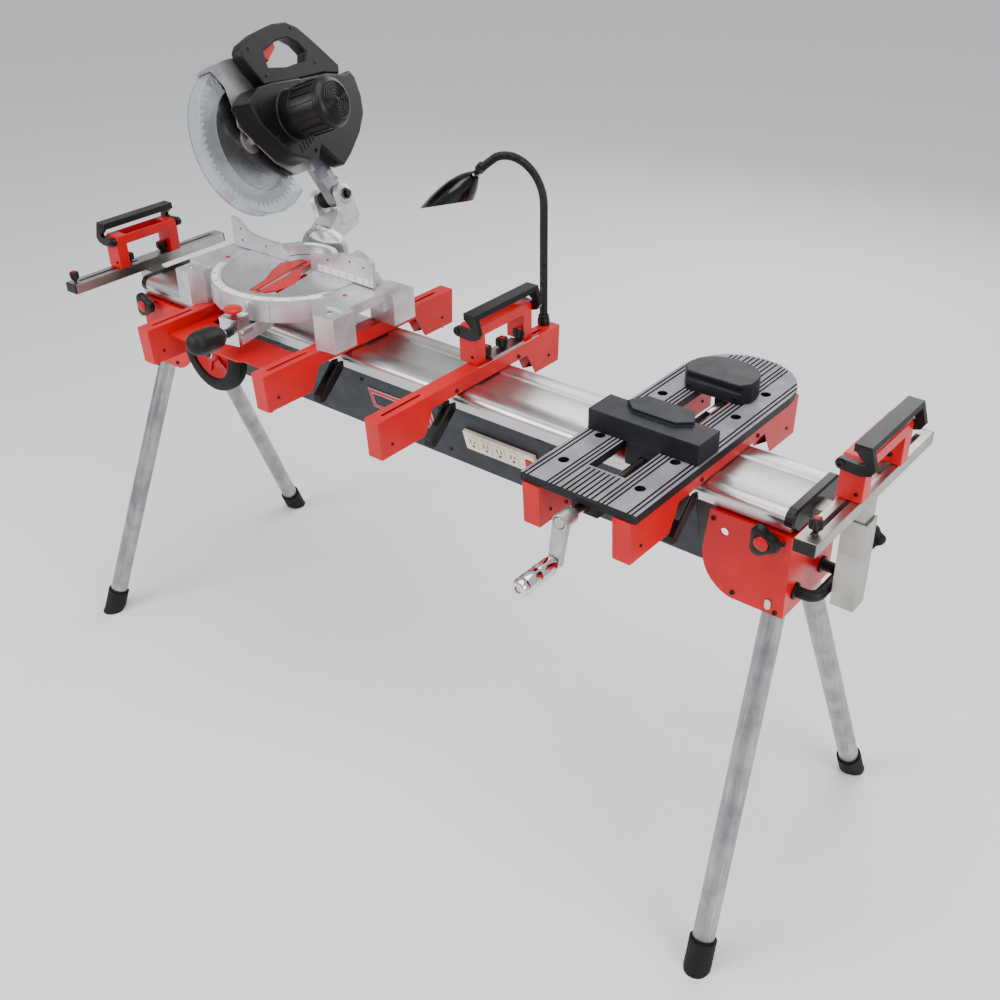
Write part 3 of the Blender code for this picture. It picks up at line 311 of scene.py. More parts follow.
def grooved(mesh, cutters):
    """The mesh with closed cutter grids taken out of it."""
    holder = bpy.data.objects.new("grooved", mesh)
    tool_mesh = bpy.data.meshes.new("cutter")
    corners, faces, base = [], [], 0
    for grid in cutters:
        rows, columns = grid.shape[:2]
        index = base + np.arange(rows * columns).reshape(rows, columns)
        ahead = np.roll(index, -1, 1)
        faces += np.stack([index[:-1], ahead[:-1], ahead[1:], index[1:]], -1).reshape(-1, 4).tolist()
        faces += [index[0, ::-1].tolist(), index[-1].tolist()]
        corners.append(grid.reshape(-1, 3))
        base += rows * columns
    tool_mesh.from_pydata(np.concatenate(corners), [], faces)
    shape = bmesh.new()
    shape.from_mesh(tool_mesh)
    bmesh.ops.recalc_face_normals(shape, faces=shape.faces)
    shape.to_mesh(tool_mesh)
    shape.free()
    tool = bpy.data.objects.new("cutter", tool_mesh)
    for obj in (holder, tool):
        bpy.context.scene.collection.objects.link(obj)
    taking = holder.modifiers.new("take", "BOOLEAN")
    taking.operation = "DIFFERENCE"
    taking.object = tool
    bpy.context.view_layer.update()
    result = bpy.data.meshes.new_from_object(holder.evaluated_get(bpy.context.evaluated_depsgraph_get()))
    for obj in (holder, tool):
        bpy.data.objects.remove(obj, do_unlink=True)
    return result


# ---------------------------------------------------------------- materials
def linear(colour):
    """An sRGB hex colour as linear red, green, blue and alpha."""
    parts = np.array([int(colour[k:k + 2], 16) for k in (1, 3, 5)]) / 255
    values = np.where(parts <= 0.04045, parts / 12.92, ((parts + 0.055) / 1.055) ** 2.4)
    return (*values, 1.0)


def add(tree, kind, settings, links=None):
    """A node with its settings, by socket name or number where it has that socket, and its inputs linked."""
    node = tree.nodes.new("ShaderNode" + kind)
    for key, value in settings.items():
        if isinstance(key, int) or key in node.inputs:
            node.inputs[key].default_value = value
        else:
            setattr(node, key, value)
    for key, source in (links or {}).items():
        tree.links.new(source, node.inputs[key])
    return node


def start(name, colour, roughness, metallic=0.0, **sockets):
    """A Principled material: itself, its tree, its shader and its texture coordinates."""
    material = bpy.data.materials.new(name)
    material.use_nodes = True
    tree = material.node_tree
    shader = tree.nodes["Principled BSDF"]
    shader.inputs["Base Color"].default_value = linear(colour)
    shader.inputs["Roughness"].default_value = roughness
    shader.inputs["Metallic"].default_value = metallic
    for key, value in sockets.items():
        shader.inputs[key.replace("_", " ")].default_value = value
    return material, tree, shader, add(tree, "TexCoord", {})


def per_metre(millimetres):
    """Texture scale whose pattern repeats about once in this many millimetres."""
    return 1000.0 / millimetres


def tinted(tree, factor, dark, light, stops=(0.35, 0.65)):
    """Colour socket that runs from dark to light while a pattern rises between two stops."""
    share = add(tree, "MapRange", {"From Min": stops[0], "From Max": stops[1]}, {"Value": factor})
    mix = add(tree, "Mix", {"data_type": "RGBA", 6: linear(dark), 7: linear(light)},
              {0: share.outputs["Result"]})
    return mix.outputs[2]


def surfaced(tree, shader, sheen, gloss, height, depth_mm):
    """One pattern sets the roughness between two values, and another a relief of real depth."""
    shine = add(tree, "MapRange", {"To Min": gloss[0], "To Max": gloss[1]}, {"Value": sheen})
    bump = add(tree, "Bump", {"Distance": depth_mm / 1000}, {"Height": height})
    tree.links.new(shine.outputs["Result"], shader.inputs["Roughness"])
    tree.links.new(bump.outputs["Normal"], shader.inputs["Normal"])


def enamel(name, light, dark, gloss=0.30):
    """Powder-coated steel: an even colour with a faint orange-peel skin that softens each highlight."""
    material, tree, shader, place = start(name, light, gloss, Coat_Weight=0.06, Coat_Roughness=0.2,
                                          Specular_IOR_Level=0.28)
    where = {"Vector": place.outputs["Object"]}
    peel = add(tree, "TexNoise", {"Scale": per_metre(2.2), "Detail": 2.0}, where).outputs["Fac"]
    drift = add(tree, "TexNoise", {"Scale": per_metre(60), "Detail": 3.0}, where).outputs["Fac"]
    tree.links.new(tinted(tree, drift, dark, light), shader.inputs["Base Color"])
    surfaced(tree, shader, drift, (gloss + 0.08, gloss - 0.04), peel, 0.03)
    return material


def streaked_metal(name, light, dark, roughness, turn=(0, 0, 0), stretch=(1, 40, 40), grain_mm=14.0,
                   depth=0.006):
    """Drawn or brushed metal: fine streaks along the first axis in colour, gloss and relief."""
    material, tree, shader, place = start(name, light, roughness, 1.0)
    where = {"Vector": place.outputs["Object"]}
    lay = add(tree, "Mapping", {"Rotation": turn, "Scale": stretch}, where).outputs["Vector"]
    streak = add(tree, "TexNoise", {"Scale": per_metre(grain_mm), "Detail": 4.0, "Roughness": 0.7},
                 {"Vector": lay}).outputs["Fac"]
    cloud = add(tree, "TexNoise", {"Scale": per_metre(90), "Detail": 3.0}, where).outputs["Fac"]
    both = add(tree, "Math", {"operation": "MULTIPLY"}, {0: streak, 1: cloud}).outputs["Value"]
    tree.links.new(tinted(tree, both, dark, light, (0.12, 0.36)), shader.inputs["Base Color"])
    surfaced(tree, shader, streak, (roughness + 0.10, roughness - 0.08), streak, depth)
    return material


def brushed_tube(name, light, dark, roughness):
    """Welded steel tube under clear zinc: long dull streaks down the tube, read from the piece's own map."""
    material, tree, shader, place = start(name, light, roughness, 1.0)
    lay = add(tree, "Mapping", {"Scale": (per_metre(1.4), per_metre(70), 1)},
              {"Vector": place.outputs["UV"]}).outputs["Vector"]
    streak = add(tree, "TexNoise", {"Scale": 1.0, "Detail": 3.0, "Roughness": 0.65},
                 {"Vector": lay}).outputs["Fac"]
    cloud = add(tree, "TexNoise", {"Scale": per_metre(45), "Detail": 4.0},
                {"Vector": place.outputs["Object"]}).outputs["Fac"]
    both = add(tree, "Math", {"operation": "MULTIPLY"}, {0: streak, 1: cloud}).outputs["Value"]
    tree.links.new(tinted(tree, both, dark, light, (0.14, 0.36)), shader.inputs["Base Color"])
    surfaced(tree, shader, streak, (roughness + 0.10, roughness - 0.06), streak, 0.008)
    return material


def cast_metal(name, light, dark, roughness, grain_mm=1.6, depth=0.05):
    """Die-cast aluminium, blasted: a pale skin with a fine even grain and darker clouds."""
    material, tree, shader, place = start(name, light, roughness, 0.85)
    where = {"Vector": place.outputs["Object"]}
    grain = add(tree, "TexNoise", {"Scale": per_metre(grain_mm), "Detail": 4.0}, where).outputs["Fac"]
    cloud = add(tree, "TexNoise", {"Scale": per_metre(38), "Detail": 4.0}, where).outputs["Fac"]
    tree.links.new(tinted(tree, cloud, dark, light, (0.30, 0.55)), shader.inputs["Base Color"])
    surfaced(tree, shader, grain, (roughness + 0.12, roughness - 0.08), grain, depth)
    return material


def moulded(name, light, dark, roughness, grain_mm=0.9, depth=0.05, **sockets):
    """Injection-moulded plastic or rubber with a fine spark-eroded grain and slight wear of its gloss."""
    material, tree, shader, place = start(name, light, roughness, Specular_IOR_Level=0.32, **sockets)
    where = {"Vector": place.outputs["Object"]}
    grain = add(tree, "TexVoronoi", {"Scale": per_metre(grain_mm)}, where).outputs["Distance"]
    wear = add(tree, "TexNoise", {"Scale": per_metre(30), "Detail": 4.0}, where).outputs["Fac"]
    tree.links.new(tinted(tree, wear, dark, light), shader.inputs["Base Color"])
    surfaced(tree, shader, wear, (roughness + 0.08, roughness - 0.08), grain, depth)
    return material


def polished(name, colour, roughness=0.06):
    """Bright plate over smooth steel, with faint long waves left by the buffing wheel."""
    material, tree, shader, place = start(name, colour, roughness, 1.0)
    wave = add(tree, "TexNoise", {"Scale": per_metre(9), "Detail": 2.0},
               {"Vector": place.outputs["Object"]}).outputs["Fac"]
    surfaced(tree, shader, wave, (roughness + 0.05, roughness), wave, 0.01)
    return material


def coated_top():
    """Cast vise top: mauve-grey coating on the raised lands, black in the grooves and on the sides."""
    material, tree, shader, place = start("coated_cast_vise_top", "#96919A", 0.5, Specular_IOR_Level=0.3)
    where = {"Vector": place.outputs["Object"]}
    height = add(tree, "SeparateXYZ", {}, where).outputs["Z"]
    groove_floor = box("vise_table")[1][2] - 0.0004
    land = add(tree, "Math", {"operation": "GREATER_THAN", 1: groove_floor}, {0: height}).outputs["Value"]
    grain = add(tree, "TexNoise", {"Scale": per_metre(1.3), "Detail": 4.0}, where).outputs["Fac"]
    cloud = add(tree, "TexNoise", {"Scale": per_metre(50), "Detail": 4.0}, where).outputs["Fac"]
    black = tinted(tree, cloud, "#08080A", "#0E0E10")
    mauve = tinted(tree, cloud, "#76717B", "#8D8891")
    both = add(tree, "Mix", {"data_type": "RGBA"}, {0: land, 6: black, 7: mauve}).outputs[2]
    tree.links.new(both, shader.inputs["Base Color"])
    surfaced(tree, shader, grain, (0.60, 0.42), grain, 0.04)
    return material


def clear_guard():
    """Clear polycarbonate: thin walls that pass light and show pale, shining rims."""
    material, tree, shader, place = start("clear_polycarbonate", "#E9EEF1", 0.06, IOR=1.58,
                                          Transmission_Weight=0.88)
    scuff = add(tree, "TexNoise", {"Scale": per_metre(6), "Detail": 5.0},
                {"Vector": place.outputs["Object"]}).outputs["Fac"]
    haze = add(tree, "MapRange", {"To Min": 0.02, "To Max": 0.14}, {"Value": scuff}).outputs["Result"]
    tree.links.new(haze, shader.inputs["Roughness"])
    return material


def spun_steel():
    """Ground saw plate: rings of fine scratches about the arbor, read from the map's distance outwards."""
    material, tree, shader, place = start("ground_saw_steel", "#B9BABC", 0.28, 1.0)
    lay = add(tree, "Mapping", {"Scale": (per_metre(60), per_metre(0.8), 1)},
              {"Vector": place.outputs["UV"]}).outputs["Vector"]
    ring = add(tree, "TexNoise", {"Scale": 1.0, "Detail": 3.0}, {"Vector": lay}).outputs["Fac"]
    tree.links.new(tinted(tree, ring, "#8E9094", "#D2D3D4"), shader.inputs["Base Color"])
    surfaced(tree, shader, ring, (0.38, 0.20), ring, 0.006)
    return material


# Powder coat hides the steel under one even, warm red with soft highlights; the housing's is a rough slate.
RED = enamel("red_powder_coat_on_steel", "#CE0410", "#C2020D")
SLATE = moulded("slate_textured_powder_coat", "#20262F", "#171C24", 0.50, 1.4, 0.12)
# Drawn and brushed metal: long soft reflections broken by fine streaks down each part's length.
BEAM = streaked_metal("satin_anodised_extrusion", "#D2D0CE", "#B4B1AE", 0.30)
ACROSS = (0, 0, math.radians(90))
RAIL = streaked_metal("brushed_zinc_steel", "#C2BFBB", "#918D88", 0.34, ACROSS)
UPRIGHT = streaked_metal("brushed_zinc_upright", "#C6C3BF", "#99958F", 0.36, (0, math.radians(90), 0))
LEG = brushed_tube("brushed_steel_tube", "#B8B7B9", "#87868A", 0.34)
# Plated steel: zinc is bright but hazy, chrome mirrors the room, a cast arm is greyer and dull.
ZINC = polished("zinc_plated_steel", "#C9C8C4", 0.22)
CHROME = polished("chrome_plate", "#E4E4E4", 0.05)
# Black parts differ in gloss only: satin nylon, glossy hood, dull grips and rubber, oily black screws.
BLACK = moulded("black_moulded_nylon", "#0B0B0C", "#070708", 0.36)
STEEL_CAST = cast_metal("cast_zinc_steel", "#B5B3B0", "#8F8C89", 0.34, 2.0, 0.03)
GLOSSY = moulded("black_gloss_enamel", "#0A0A0B", "#060607", 0.18, 2.0, 0.01)
GRIP = moulded("black_soft_grip", "#0C0C0D", "#080809", 0.50, 1.2, 0.10)
RUBBER = moulded("black_rubber", "#0C0C0D", "#080808", 0.66, 1.5, 0.10)
OXIDE = moulded("black_oxide_steel", "#0E0E10", "#09090A", 0.36, 1.5, 0.02)
# Painted and blasted castings: coarse blue-black jaws, a pale sparkling base, a smoother grey guard.
IRON = moulded("dark_painted_cast_jaw", "#11151A", "#0B0E12", 0.50, 1.6, 0.14)
CAST = cast_metal("blasted_cast_aluminium", "#D4D4D6", "#BFBFC2", 0.42)
MACHINED = streaked_metal("machined_aluminium", "#DCDCDD", "#BEBEC0", 0.26, (0, 0, math.radians(12)),
                          (1, 30, 1), 9.0)
DULL = cast_metal("dull_cast_guard", "#A5A2A4", "#8A888B", 0.36, 1.2, 0.03)
# Coloured plastics and thin printed inks, which show their colour and hardly any grain. The dark ink also
# serves as painted shade, on the outlets' slots and the gear case's vents.
BEIGE = moulded("ivory_moulded_abs", "#F0E2D0", "#E7D8C4", 0.42, 1.1, 0.02)
RED_PLASTIC = moulded("red_moulded_abs", "#C2040E", "#B0030B", 0.32, 1.6, 0.02)
PALE = moulded("white_printed_ink", "#F2F1EE", "#E6E4E0", 0.45, 1.5, 0.01)
DARK_PRINT_AND_SHADE = moulded("dark_printed_ink", "#23211F", "#181716", 0.55, 1.5, 0.01)
ORANGE_INK = moulded("orange_printed_ink", "#D9822B", "#C26F1E", 0.50, 1.5, 0.01)
RED_INK = moulded("red_printed_ink", "#C00A12", "#AE0810", 0.50, 1.5, 0.01)
LABEL = moulded("grey_foil_label", "#7B7F86", "#60646B", 0.35, 1.0, 0.02)
BULB = moulded("frosted_bulb_glass", "#F4F1EA", "#ECE8DF", 0.20, 1.0, 0.01)
TOP = coated_top()
CLEAR = clear_guard()
BLADE = spun_steel()


# ---------------------------------------------------------------- small hardware
def screws(name, places, along, body, radius=0.0032, height=0.0020, finish=None, where="stand",
           sides=20):
    """Round screw heads: radius over height climbs a domed rim, then falls into a round well."""
    profile = [(0, 0), (radius, 0), (radius, height * 0.6), (radius * 0.82, height), (radius * 0.48,
                                                                                      height),
               (radius * 0.44, height * 0.35), (0, height * 0.30)]
    head = lathe(profile, sides)
    heading = direction(along, where)
    grids = [aim(head, put(place, where), heading) for place in places]
    return build(name, grids, finish or OXIDE, body)


def hex_bolts(name, places, along, body, radius=0.0055, height=0.004, finish=None, where="stand"):
    """Hexagon heads, each a six-sided turned shape with eased rims, on a round washer."""
    washer = lathe([(0, 0), (radius * 1.35, 0), (radius * 1.35, 0.001), (0, 0.001)], 28)
    head = lathe([(0, 0.001), (radius, 0.001), (radius, height), (radius * 0.85, height + 0.0006),
                  (0, height + 0.0006)], 6)
    heading = direction(along, where)
    grids = [aim(shape, put(place, where), heading) for place in places for shape in (washer, head)]
    return build(name, grids, finish or ZINC, body, smooth=25)


def knob_shapes(radius, stem, lobes):
    """Lobed head with rounded rims, its threaded stud of alternating rings, and a domed centre cap."""
    rim = [(0, 0.0), (0.62, 0.0), (0.90, 0.0012), (1.0, 0.0045), (1.0, 0.0115), (0.93, 0.0155),
           (0.72, 0.0175),
           (0.55, 0.0175), (0.50, 0.0160), (0, 0.0160)]
    head = lathe([(r * radius * 0.86, h + stem) for r, h in rim], 72, lobes, 0.17)
    thread = [(0, 0)]
    pitch, turns = 0.00125, int(stem / 0.00125)
    for turn in range(turns):
        thread += [(0.0031, turn * pitch), (0.0037, (turn + 0.5) * pitch)]
    stud = lathe(thread + [(0.0031, stem + 0.002), (0, stem + 0.002)], 20)
    collar = lathe([(0, stem - 0.006), (radius * 0.34, stem - 0.006), (radius * 0.46, stem + 0.002),
                    (0, stem + 0.002)], 32)
    top = lathe([(0, 0.0155), (0.44, 0.0155), (0.44, 0.0180), (0.36, 0.0196), (0.15, 0.0204), (0, 0.0205)],
                32)
    top = top * (radius, radius, 1) + (0, 0, stem)
    return head, stud, collar, top


def knob(name, start_at, along, radius, stem, body, stands_for=(), lobes=4, where="stand"):
    """A star knob: black lobed head and collar, threaded stud and red centre cap, all turned shapes."""
    head, stud, collar, top = knob_shapes(radius, stem, lobes)
    heading = direction(along, where)
    origin = put(start_at, where)
    build(name, [aim(head, origin, heading), aim(collar, origin, heading)], BLACK, body, stands_for)
    build(name + "_stud", [aim(stud, origin, heading)], ZINC, body)
    build(name + "_cap", [aim(top, origin, heading)], RED_PLASTIC, body)


# ---------------------------------------------------------------- stand
def beam():
    """The extrusion and the screws under its edge. Each end cap is one loop of rings that runs from the
    beam's rounded outline, over an eased face, into the tube's opening and back."""
    low, high = box("main_beam")
    eased("main_beam", BEAM, 0.0006)
    points = vertices("main_beam") - STAND
    for side, sign in (("left", -1), ("right", 1)):
        end = points[:, 0].max() * sign
        wide, top, bottom = high[1] - STAND[1], high[2], low[2]
        outer = np.concatenate([arc(wide - 0.016, top - 0.0165, 0.0172, -60, 90, 10),
                                arc(-(wide - 0.016), top - 0.0165, 0.0172, 90, 240, 10)])
        outer = np.concatenate([outer, [[-0.058, bottom - 0.0008], [0.058, bottom - 0.0008]]])
        angle = np.arctan2(outer[:, 1] - (bottom + 0.016), outer[:, 0])
        inner = np.clip(np.stack([np.cos(angle), np.sin(angle)], 1) * 0.06, (-0.0195, -0.0110),
                        (0.0195, 0.0110))
        inner = inner + (0, bottom + 0.0150)
        rows = []
        for ring, at in ((outer, -0.010), (outer, 0.0030), (inset(outer, 0.0030), 0.0062), (inner, 0.0062),
                         (inner, -0.010), (outer, -0.010)):
            rows.append(np.c_[np.full(len(ring), end + sign * at), ring])
        build("beam_end_cap_" + side, [put(np.array(rows), "stand")], BLACK, "stand")
    places = [(x, -0.0675, low[2] + 0.0008) for x in (-0.70, -0.36, 0.02, 0.30, 0.56, 0.735)]
    screws("beam_edge_screws", places, (0, -0.4, -1), "stand", 0.0045, 0.003)


def slope_frame():
    """Origin, downhill and outward directions of the housing's sloping front face."""
    points = vertices("under_housing") - STAND
    front = points[(points[:, 1] < -0.01) & (np.abs(points[:, 0]) > 0.55)]
    top = front[np.argmax(front[:, 2] - front[:, 1])]
    bottom_z = points[:, 2].min()
    down = np.array([0, -0.020 - top[1], bottom_z - top[2]])
    down /= np.linalg.norm(down)
    return top * (0, 1, 1), down, np.array([0, down[2], -down[1]])


def on_slope(x, down, proud=0.0):
    """A point on the housing's front: so far along it, so far downhill, and so far proud of it."""
    origin, downhill, out = slope_frame()
    return origin + np.array([x, 0, 0]) + downhill * down + out * proud


def tilt(shape, x, down, proud=0.0003):
    """A flat shape drawn in X and Y, laid on the housing's front with its Y uphill."""
    downhill, out = slope_frame()[1:]
    turned = shape @ np.stack([X, -downhill, out])
    return put(turned + on_slope(x, down, proud), "stand")


def housing():
    """Textured trough under the beam with its screws and a plain framed badge without lettering."""
    eased("under_housing", SLATE, 0.0012)
    body, slot = "stand", "dark_paint"
    out = slope_frame()[2]
    places = [on_slope(x, d, 0.0) for x in (-0.36, -0.14, 0.06, 0.32, 0.40) for d in (0.022, 0.125)
              if (x, d) != (-0.14, 0.125)]
    screws("housing_screws", places, out, body, 0.0040, 0.0022)
    plate = slab([(-0.082, -0.025), (0.082, -0.025), (0.082, 0.025), (-0.082, 0.025)], 0, 0.0012, 0.0004)
    for name, shrink, raise_to, finish, colour in (("badge_edge", 0.0, 0.0, PALE, "beige_plastic"),
                                                   ("badge_plate", 0.0012, 0.0006, RED, "red_enamel"),
                                                   ("badge_line", 0.0092, 0.0010, PALE, "beige_plastic"),
                                                   ("badge_centre", 0.0102, 0.0014, SLATE, "dark_paint")):
        shape = plate.copy()
        shape[..., 0] -= np.sign(shape[..., 0]) * shrink
        shape[..., 1] -= np.sign(shape[..., 1]) * shrink
        build(name, [tilt(shape, -0.046, 0.062, raise_to + 0.0003)], finish, body)


def outlets():
    """Ivory strip with four socket faces: raised plates, each with two blade slots and a round earth hole
    drawn as flat dark marks of painted shade.
    """
    eased("power_strip", BEIGE, 0.0012)
    eased("rocker_switch", RED_PLASTIC, 0.0006)
    origin, downhill = slope_frame()[:2]
    low, high = box("power_strip")
    centre = (low + high) / 2 - STAND
    down = (centre - origin) @ downhill
    proud = 0.0092
    plates, holes = [], []
    for k in range(4):
        x = low[0] - STAND[0] + 0.021 + 0.0315 * k
        plates.append(tilt(slab([(-0.0115, -0.0155), (0.0115, -0.0155), (0.0115, 0.0155),
                                 (-0.0115, 0.0155)],
                                0, 0.0012, 0.0005), x, down, proud))
        # The slots and the earth hole are thin flat dark marks on the plate: painted shade where real
        # openings would be.
        for sx, tall in ((-0.0048, 0.0052), (0.0048, 0.0044)):
            slit = slab([(sx - 0.0013, -tall), (sx + 0.0013, -tall), (sx + 0.0013, tall),
                         (sx - 0.0013, tall)],
                        0, 0.0002, 0.0001)
            holes.append(tilt(slit, x, down - 0.0035, proud + 0.0012))
        round_hole = lathe([(0, 0), (0.0030, 0), (0.0030, 0.0002), (0, 0.0002)], 20)
        holes.append(tilt(round_hole, x, down + 0.0075, proud + 0.0012))
    build("outlet_faces", plates, BEIGE, "stand")
    build("outlet_holes", holes, DARK_PRINT_AND_SHADE, "stand")


def brackets():
    """Red leg brackets with their zinc pivot bolts, black screws, and the black grip on the right one."""
    for side, sign in (("left", -1), ("right", 1)):
        node = "leg_bracket_" + side
        eased(node, RED, 0.0010)
        low, high = box(node)
        face = low[1] - STAND[1]
        pivot = spot("leg_front_" + side + "_fold") - STAND
        bolt = put(slab(pill(0.020, 0.011), 0, 0.0035, 0.0012) @ np.stack([Z, X, -Y]) + (pivot[0], face,
                                                                                         pivot[2]), "stand")
        back = put(slab(pill(0.020, 0.011), 0, 0.0035, 0.0012) @ np.stack([Z, -X, Y]) + (pivot[0], -face,
                                                                                         pivot[2]), "stand")
        build(node + "_pivot_bolts", [bolt, back], ZINC, "stand")
        corners = [(sign * x, face, z) for x, z in ((0.655, 0.730), (0.776, 0.730), (0.776, 0.600),
                                                    (0.700, 0.606))]
        screws(node + "_screws", corners, (0, -1, 0), "stand", 0.0042, 0.0026)
        screws(node + "_rear_screws", [(x, -y, z) for x, y, z in corners], (0, 1, 0), "stand",
               0.0042, 0.0026)
    low, high = box("carry_handle")
    low, high = low - STAND, high - STAND
    z, radius = (low[2] + high[2]) / 2, (high[2] - low[2]) / 2
    x, half, bend = high[0] - radius, high[1] - radius, 0.018
    path = np.concatenate([[[low[0], -half]], arc(x - bend, -half + bend, bend, -90, 0, 8),
                           arc(x - bend, half - bend, bend, 0, 90, 8), [[low[0], half]]])
    route, even = dense(np.c_[path, np.full(len(path), z)], 0.0022)
    ribbed = radius - 0.0006 * (np.cos(even * 2 * np.pi / 0.0055) > 0.6) * (np.abs(route[:,
                                                                                         1]) < half - 0.012)
    build("carry_handle_grip", [put(tube(route, ribbed, 28, Z), "stand")], GRIP, "stand",
          ("carry_handle",))
    feet = [aim(lathe([(0, 0), (0.0145, 0), (0.0145, 0.003), (0.0112, 0.005), (0, 0.005)], 32),
                put((low[0], y, z), "stand"), X) for y in (-half, half)]
    build("carry_handle_flanges", feet, BLACK, "stand")


def legs():
    """Brushed tubes: one circle carried from floor to pivot. The rubber boot's radius steps in and out five
    times along the leg, and every point below the floor is lifted to it."""
    for end in ("front", "rear"):
        for side in ("left", "right"):
            name = "leg_%s_%s" % (end, side)
            start_at, along, length = long_axis(name, (0, 0, 1))
            spread = vertices(name) - start_at
            radius = np.linalg.norm(spread - np.outer(spread @ along, along), axis=1).max()
            wall = radius - 0.002
            profile = [(wall, 0), (radius, 0), (radius, length - 0.001), (radius - 0.001, length),
                       (wall, length), (wall, 0)]
            stations = np.linspace(0.002, length - 0.002, 40)
            profile = profile[:2] + [(radius, s) for s in stations] + profile[3:]
            build(name + "_tube", [aim(lathe(profile, 56), start_at, along)], LEG, name,
                  (name,))
            boot = "foot_%s_%s" % (end, side)
            boot_top = box(boot)[1][2]
            tip = start_at - along * ((start_at[2]) / along[2])
            outer = radius + 0.0046
            reach = (boot_top - 0.002) / along[2] - 0.002
            rings = [(0, -0.02), (outer * 0.90, -0.02), (outer, -0.004), (outer, 0.016)]
            for k in range(5):
                rings += [(outer - 0.0010, 0.018 + 0.0075 * k), (outer, 0.0205 + 0.0075 * k),
                          (outer, 0.0235 + 0.0075 * k)]
            rings += [(outer, reach - 0.004), (outer - 0.0012, reach), (radius + 0.0004, reach),
                      (radius + 0.0004, 0.014),
                      (0, 0.014)]
            shape = aim(lathe(rings, 56), tip, along)
            shape[..., 2] = np.maximum(shape[..., 2], 0.0)
            build(boot + "_boot", [shape], RUBBER, name, (boot,))


def wheels():
    """Tyres: a profile with a rounded shoulder and three tread grooves, turned about the axle; red hubs whose
    profile dips between rim and boss, with five webs."""
    for node, sign in (("wheel_front", -1), ("wheel_rear", 1)):
        low, high = box(node)
        centre, half = (low + high) / 2, (high[1] - low[1]) / 2
        outer = (high[2] - low[2]) / 2
        side = [(outer - 0.028, -half + 0.002), (outer - 0.020, -half), (outer - 0.010, -half + 0.0005),
                (outer - 0.003, -half + 0.004), (outer - 0.0006, -half + 0.009)]
        tread = []
        for groove in (-0.006, 0.0, 0.006):
            tread += [(outer, groove - 0.0014), (outer - 0.0020, groove - 0.0010), (outer - 0.0020,
                                                                                    groove + 0.0010),
                      (outer, groove + 0.0014)]
        profile = side + tread + [(r, -h) for r, h in reversed(side)]
        profile += [(outer - 0.030, 0.006), (outer - 0.030, -0.006), side[0]]
        build(node + "_tyre", [aim(lathe(profile, 96), centre, Y)], RUBBER, node, (node,))
        rim = outer - 0.0285
        hub = [(0.0082, -0.0145), (0.017, -0.0145), (0.019, -0.012), (0.021, -0.005), (0.042, -0.004),
               (0.050, -0.009),
               (rim, -0.011), (rim, 0.011), (0.050, 0.009), (0.042, 0.004), (0.021, 0.005), (0.019, 0.012),
               (0.017, 0.0145), (0.0082, 0.0145), (0.0082, -0.0145)]
        webs = []
        for k in range(5):
            web = brick((0.018, -0.0022, -0.0095), (0.051, 0.0022, 0.0095), 0.0006)
            webs.append(aim(swing(web, 72 * k, "Z"), centre, Y))
        build(node + "_hub", [aim(lathe(hub, 72), centre, Y)] + webs, RED_PLASTIC, node)
        end = centre - STAND + (0, sign * (half + 0.0), 0)
        cap = aim(lathe([(0, -0.004), (0.0105, -0.004), (0.0105, 0.001), (0.0085, 0.0028), (0, 0.0034)],
                        28),
                  put(end - (0, sign * 0.0025, 0), "stand"), Y * sign)
        build(node + "_axle_cap", [cap], ZINC, "stand")


def extensions():
    """Sleeves, posts and rails with eased edges, black end plugs, a weld bead round each sleeve, and the
    knobs of both ends."""
    for side in ("left", "right"):
        eased("extension_" + side, UPRIGHT, 0.0014)
        node = "rail_" + side
        eased(node, RAIL, 0.0009)
        low, high = box(node)
        top = high[2]
        x = (low[0] + high[0]) / 2
        tall = 0.021
        for end, edge in (("front", low[1]), ("rear", high[1])):
            out = -1 if end == "front" else 1
            a, b = sorted((edge + out * 0.0001, edge + out * 0.0032))
            plug = brick((low[0] + 0.0004, a, top - tall + 0.0004), (high[0] - 0.0004, b, top - 0.0004),
                         0.0008)
            build("%s_plug_%s" % (node, end), [plug], BLACK, "rail_" + side)
        z = top - STAND[2]
        sx = x - STAND[0]
        base = middle_y("support_" + side)
        if side == "left":
            knob("rail_left_knob_0", (sx, low[1] - STAND[1] + 0.0105, z), Z, 0.0100, 0.006, "rail_left",
                 lobes=5)
            for k, y in enumerate((base - 0.045, base + 0.045), 1):
                knob("rail_left_knob_%d" % k, (sx, y, z), Z, 0.0125, 0.006, "support_left",
                     lobes=5)
        else:
            knob("rail_right_knob", (sx, low[1] - STAND[1] + 0.0285, z), Z, 0.0110, 0.006, "rail_right",
                 lobes=5)
        bead_z = box("extension_" + side)[1][2] - 0.058
        ring = np.array([(-1, -1), (1, -1), (1, 1), (-1, 1)]) * 0.01935
        bead = np.array([np.c_[ring * s + (sx, 0), np.full(4, bead_z + d)]
                         for s, d in ((1.0, -0.0010), (1.012, 0.0), (1.0, 0.0010), (0.99, 0.0),
                                      (1.0, -0.0010))])
        build("sleeve_seam_" + side, [put(bead, "stand")], UPRIGHT, "extension_" + side)
    for node in ("lock_knob_left", "lock_knob_right"):
        knob(node + "_star", spot(node + "_turn"), -Y, 0.028, 0.012, node, (node,), 3,
             "world")
    low, high = box("post_knob_right")
    start_at = spot("post_knob_right_turn")
    knob("post_knob_star", start_at, Y, (high[2] - low[2]) / 2, high[1] - start_at[1] - 0.0205,
         "post_knob_right",
         ("post_knob_right",), 4, "world")
    hub = lathe([(0, -0.002), (0.0105, -0.002), (0.0105, 0.008), (0.0085, 0.010), (0, 0.010)], 32)
    build("post_knob_boss", [aim(hub, start_at, Y)], ZINC, "extension_right")


def middle_y(node):
    """How far back a node's middle lies from the stand's middle plane."""
    return middle(node)[1] - STAND[1]


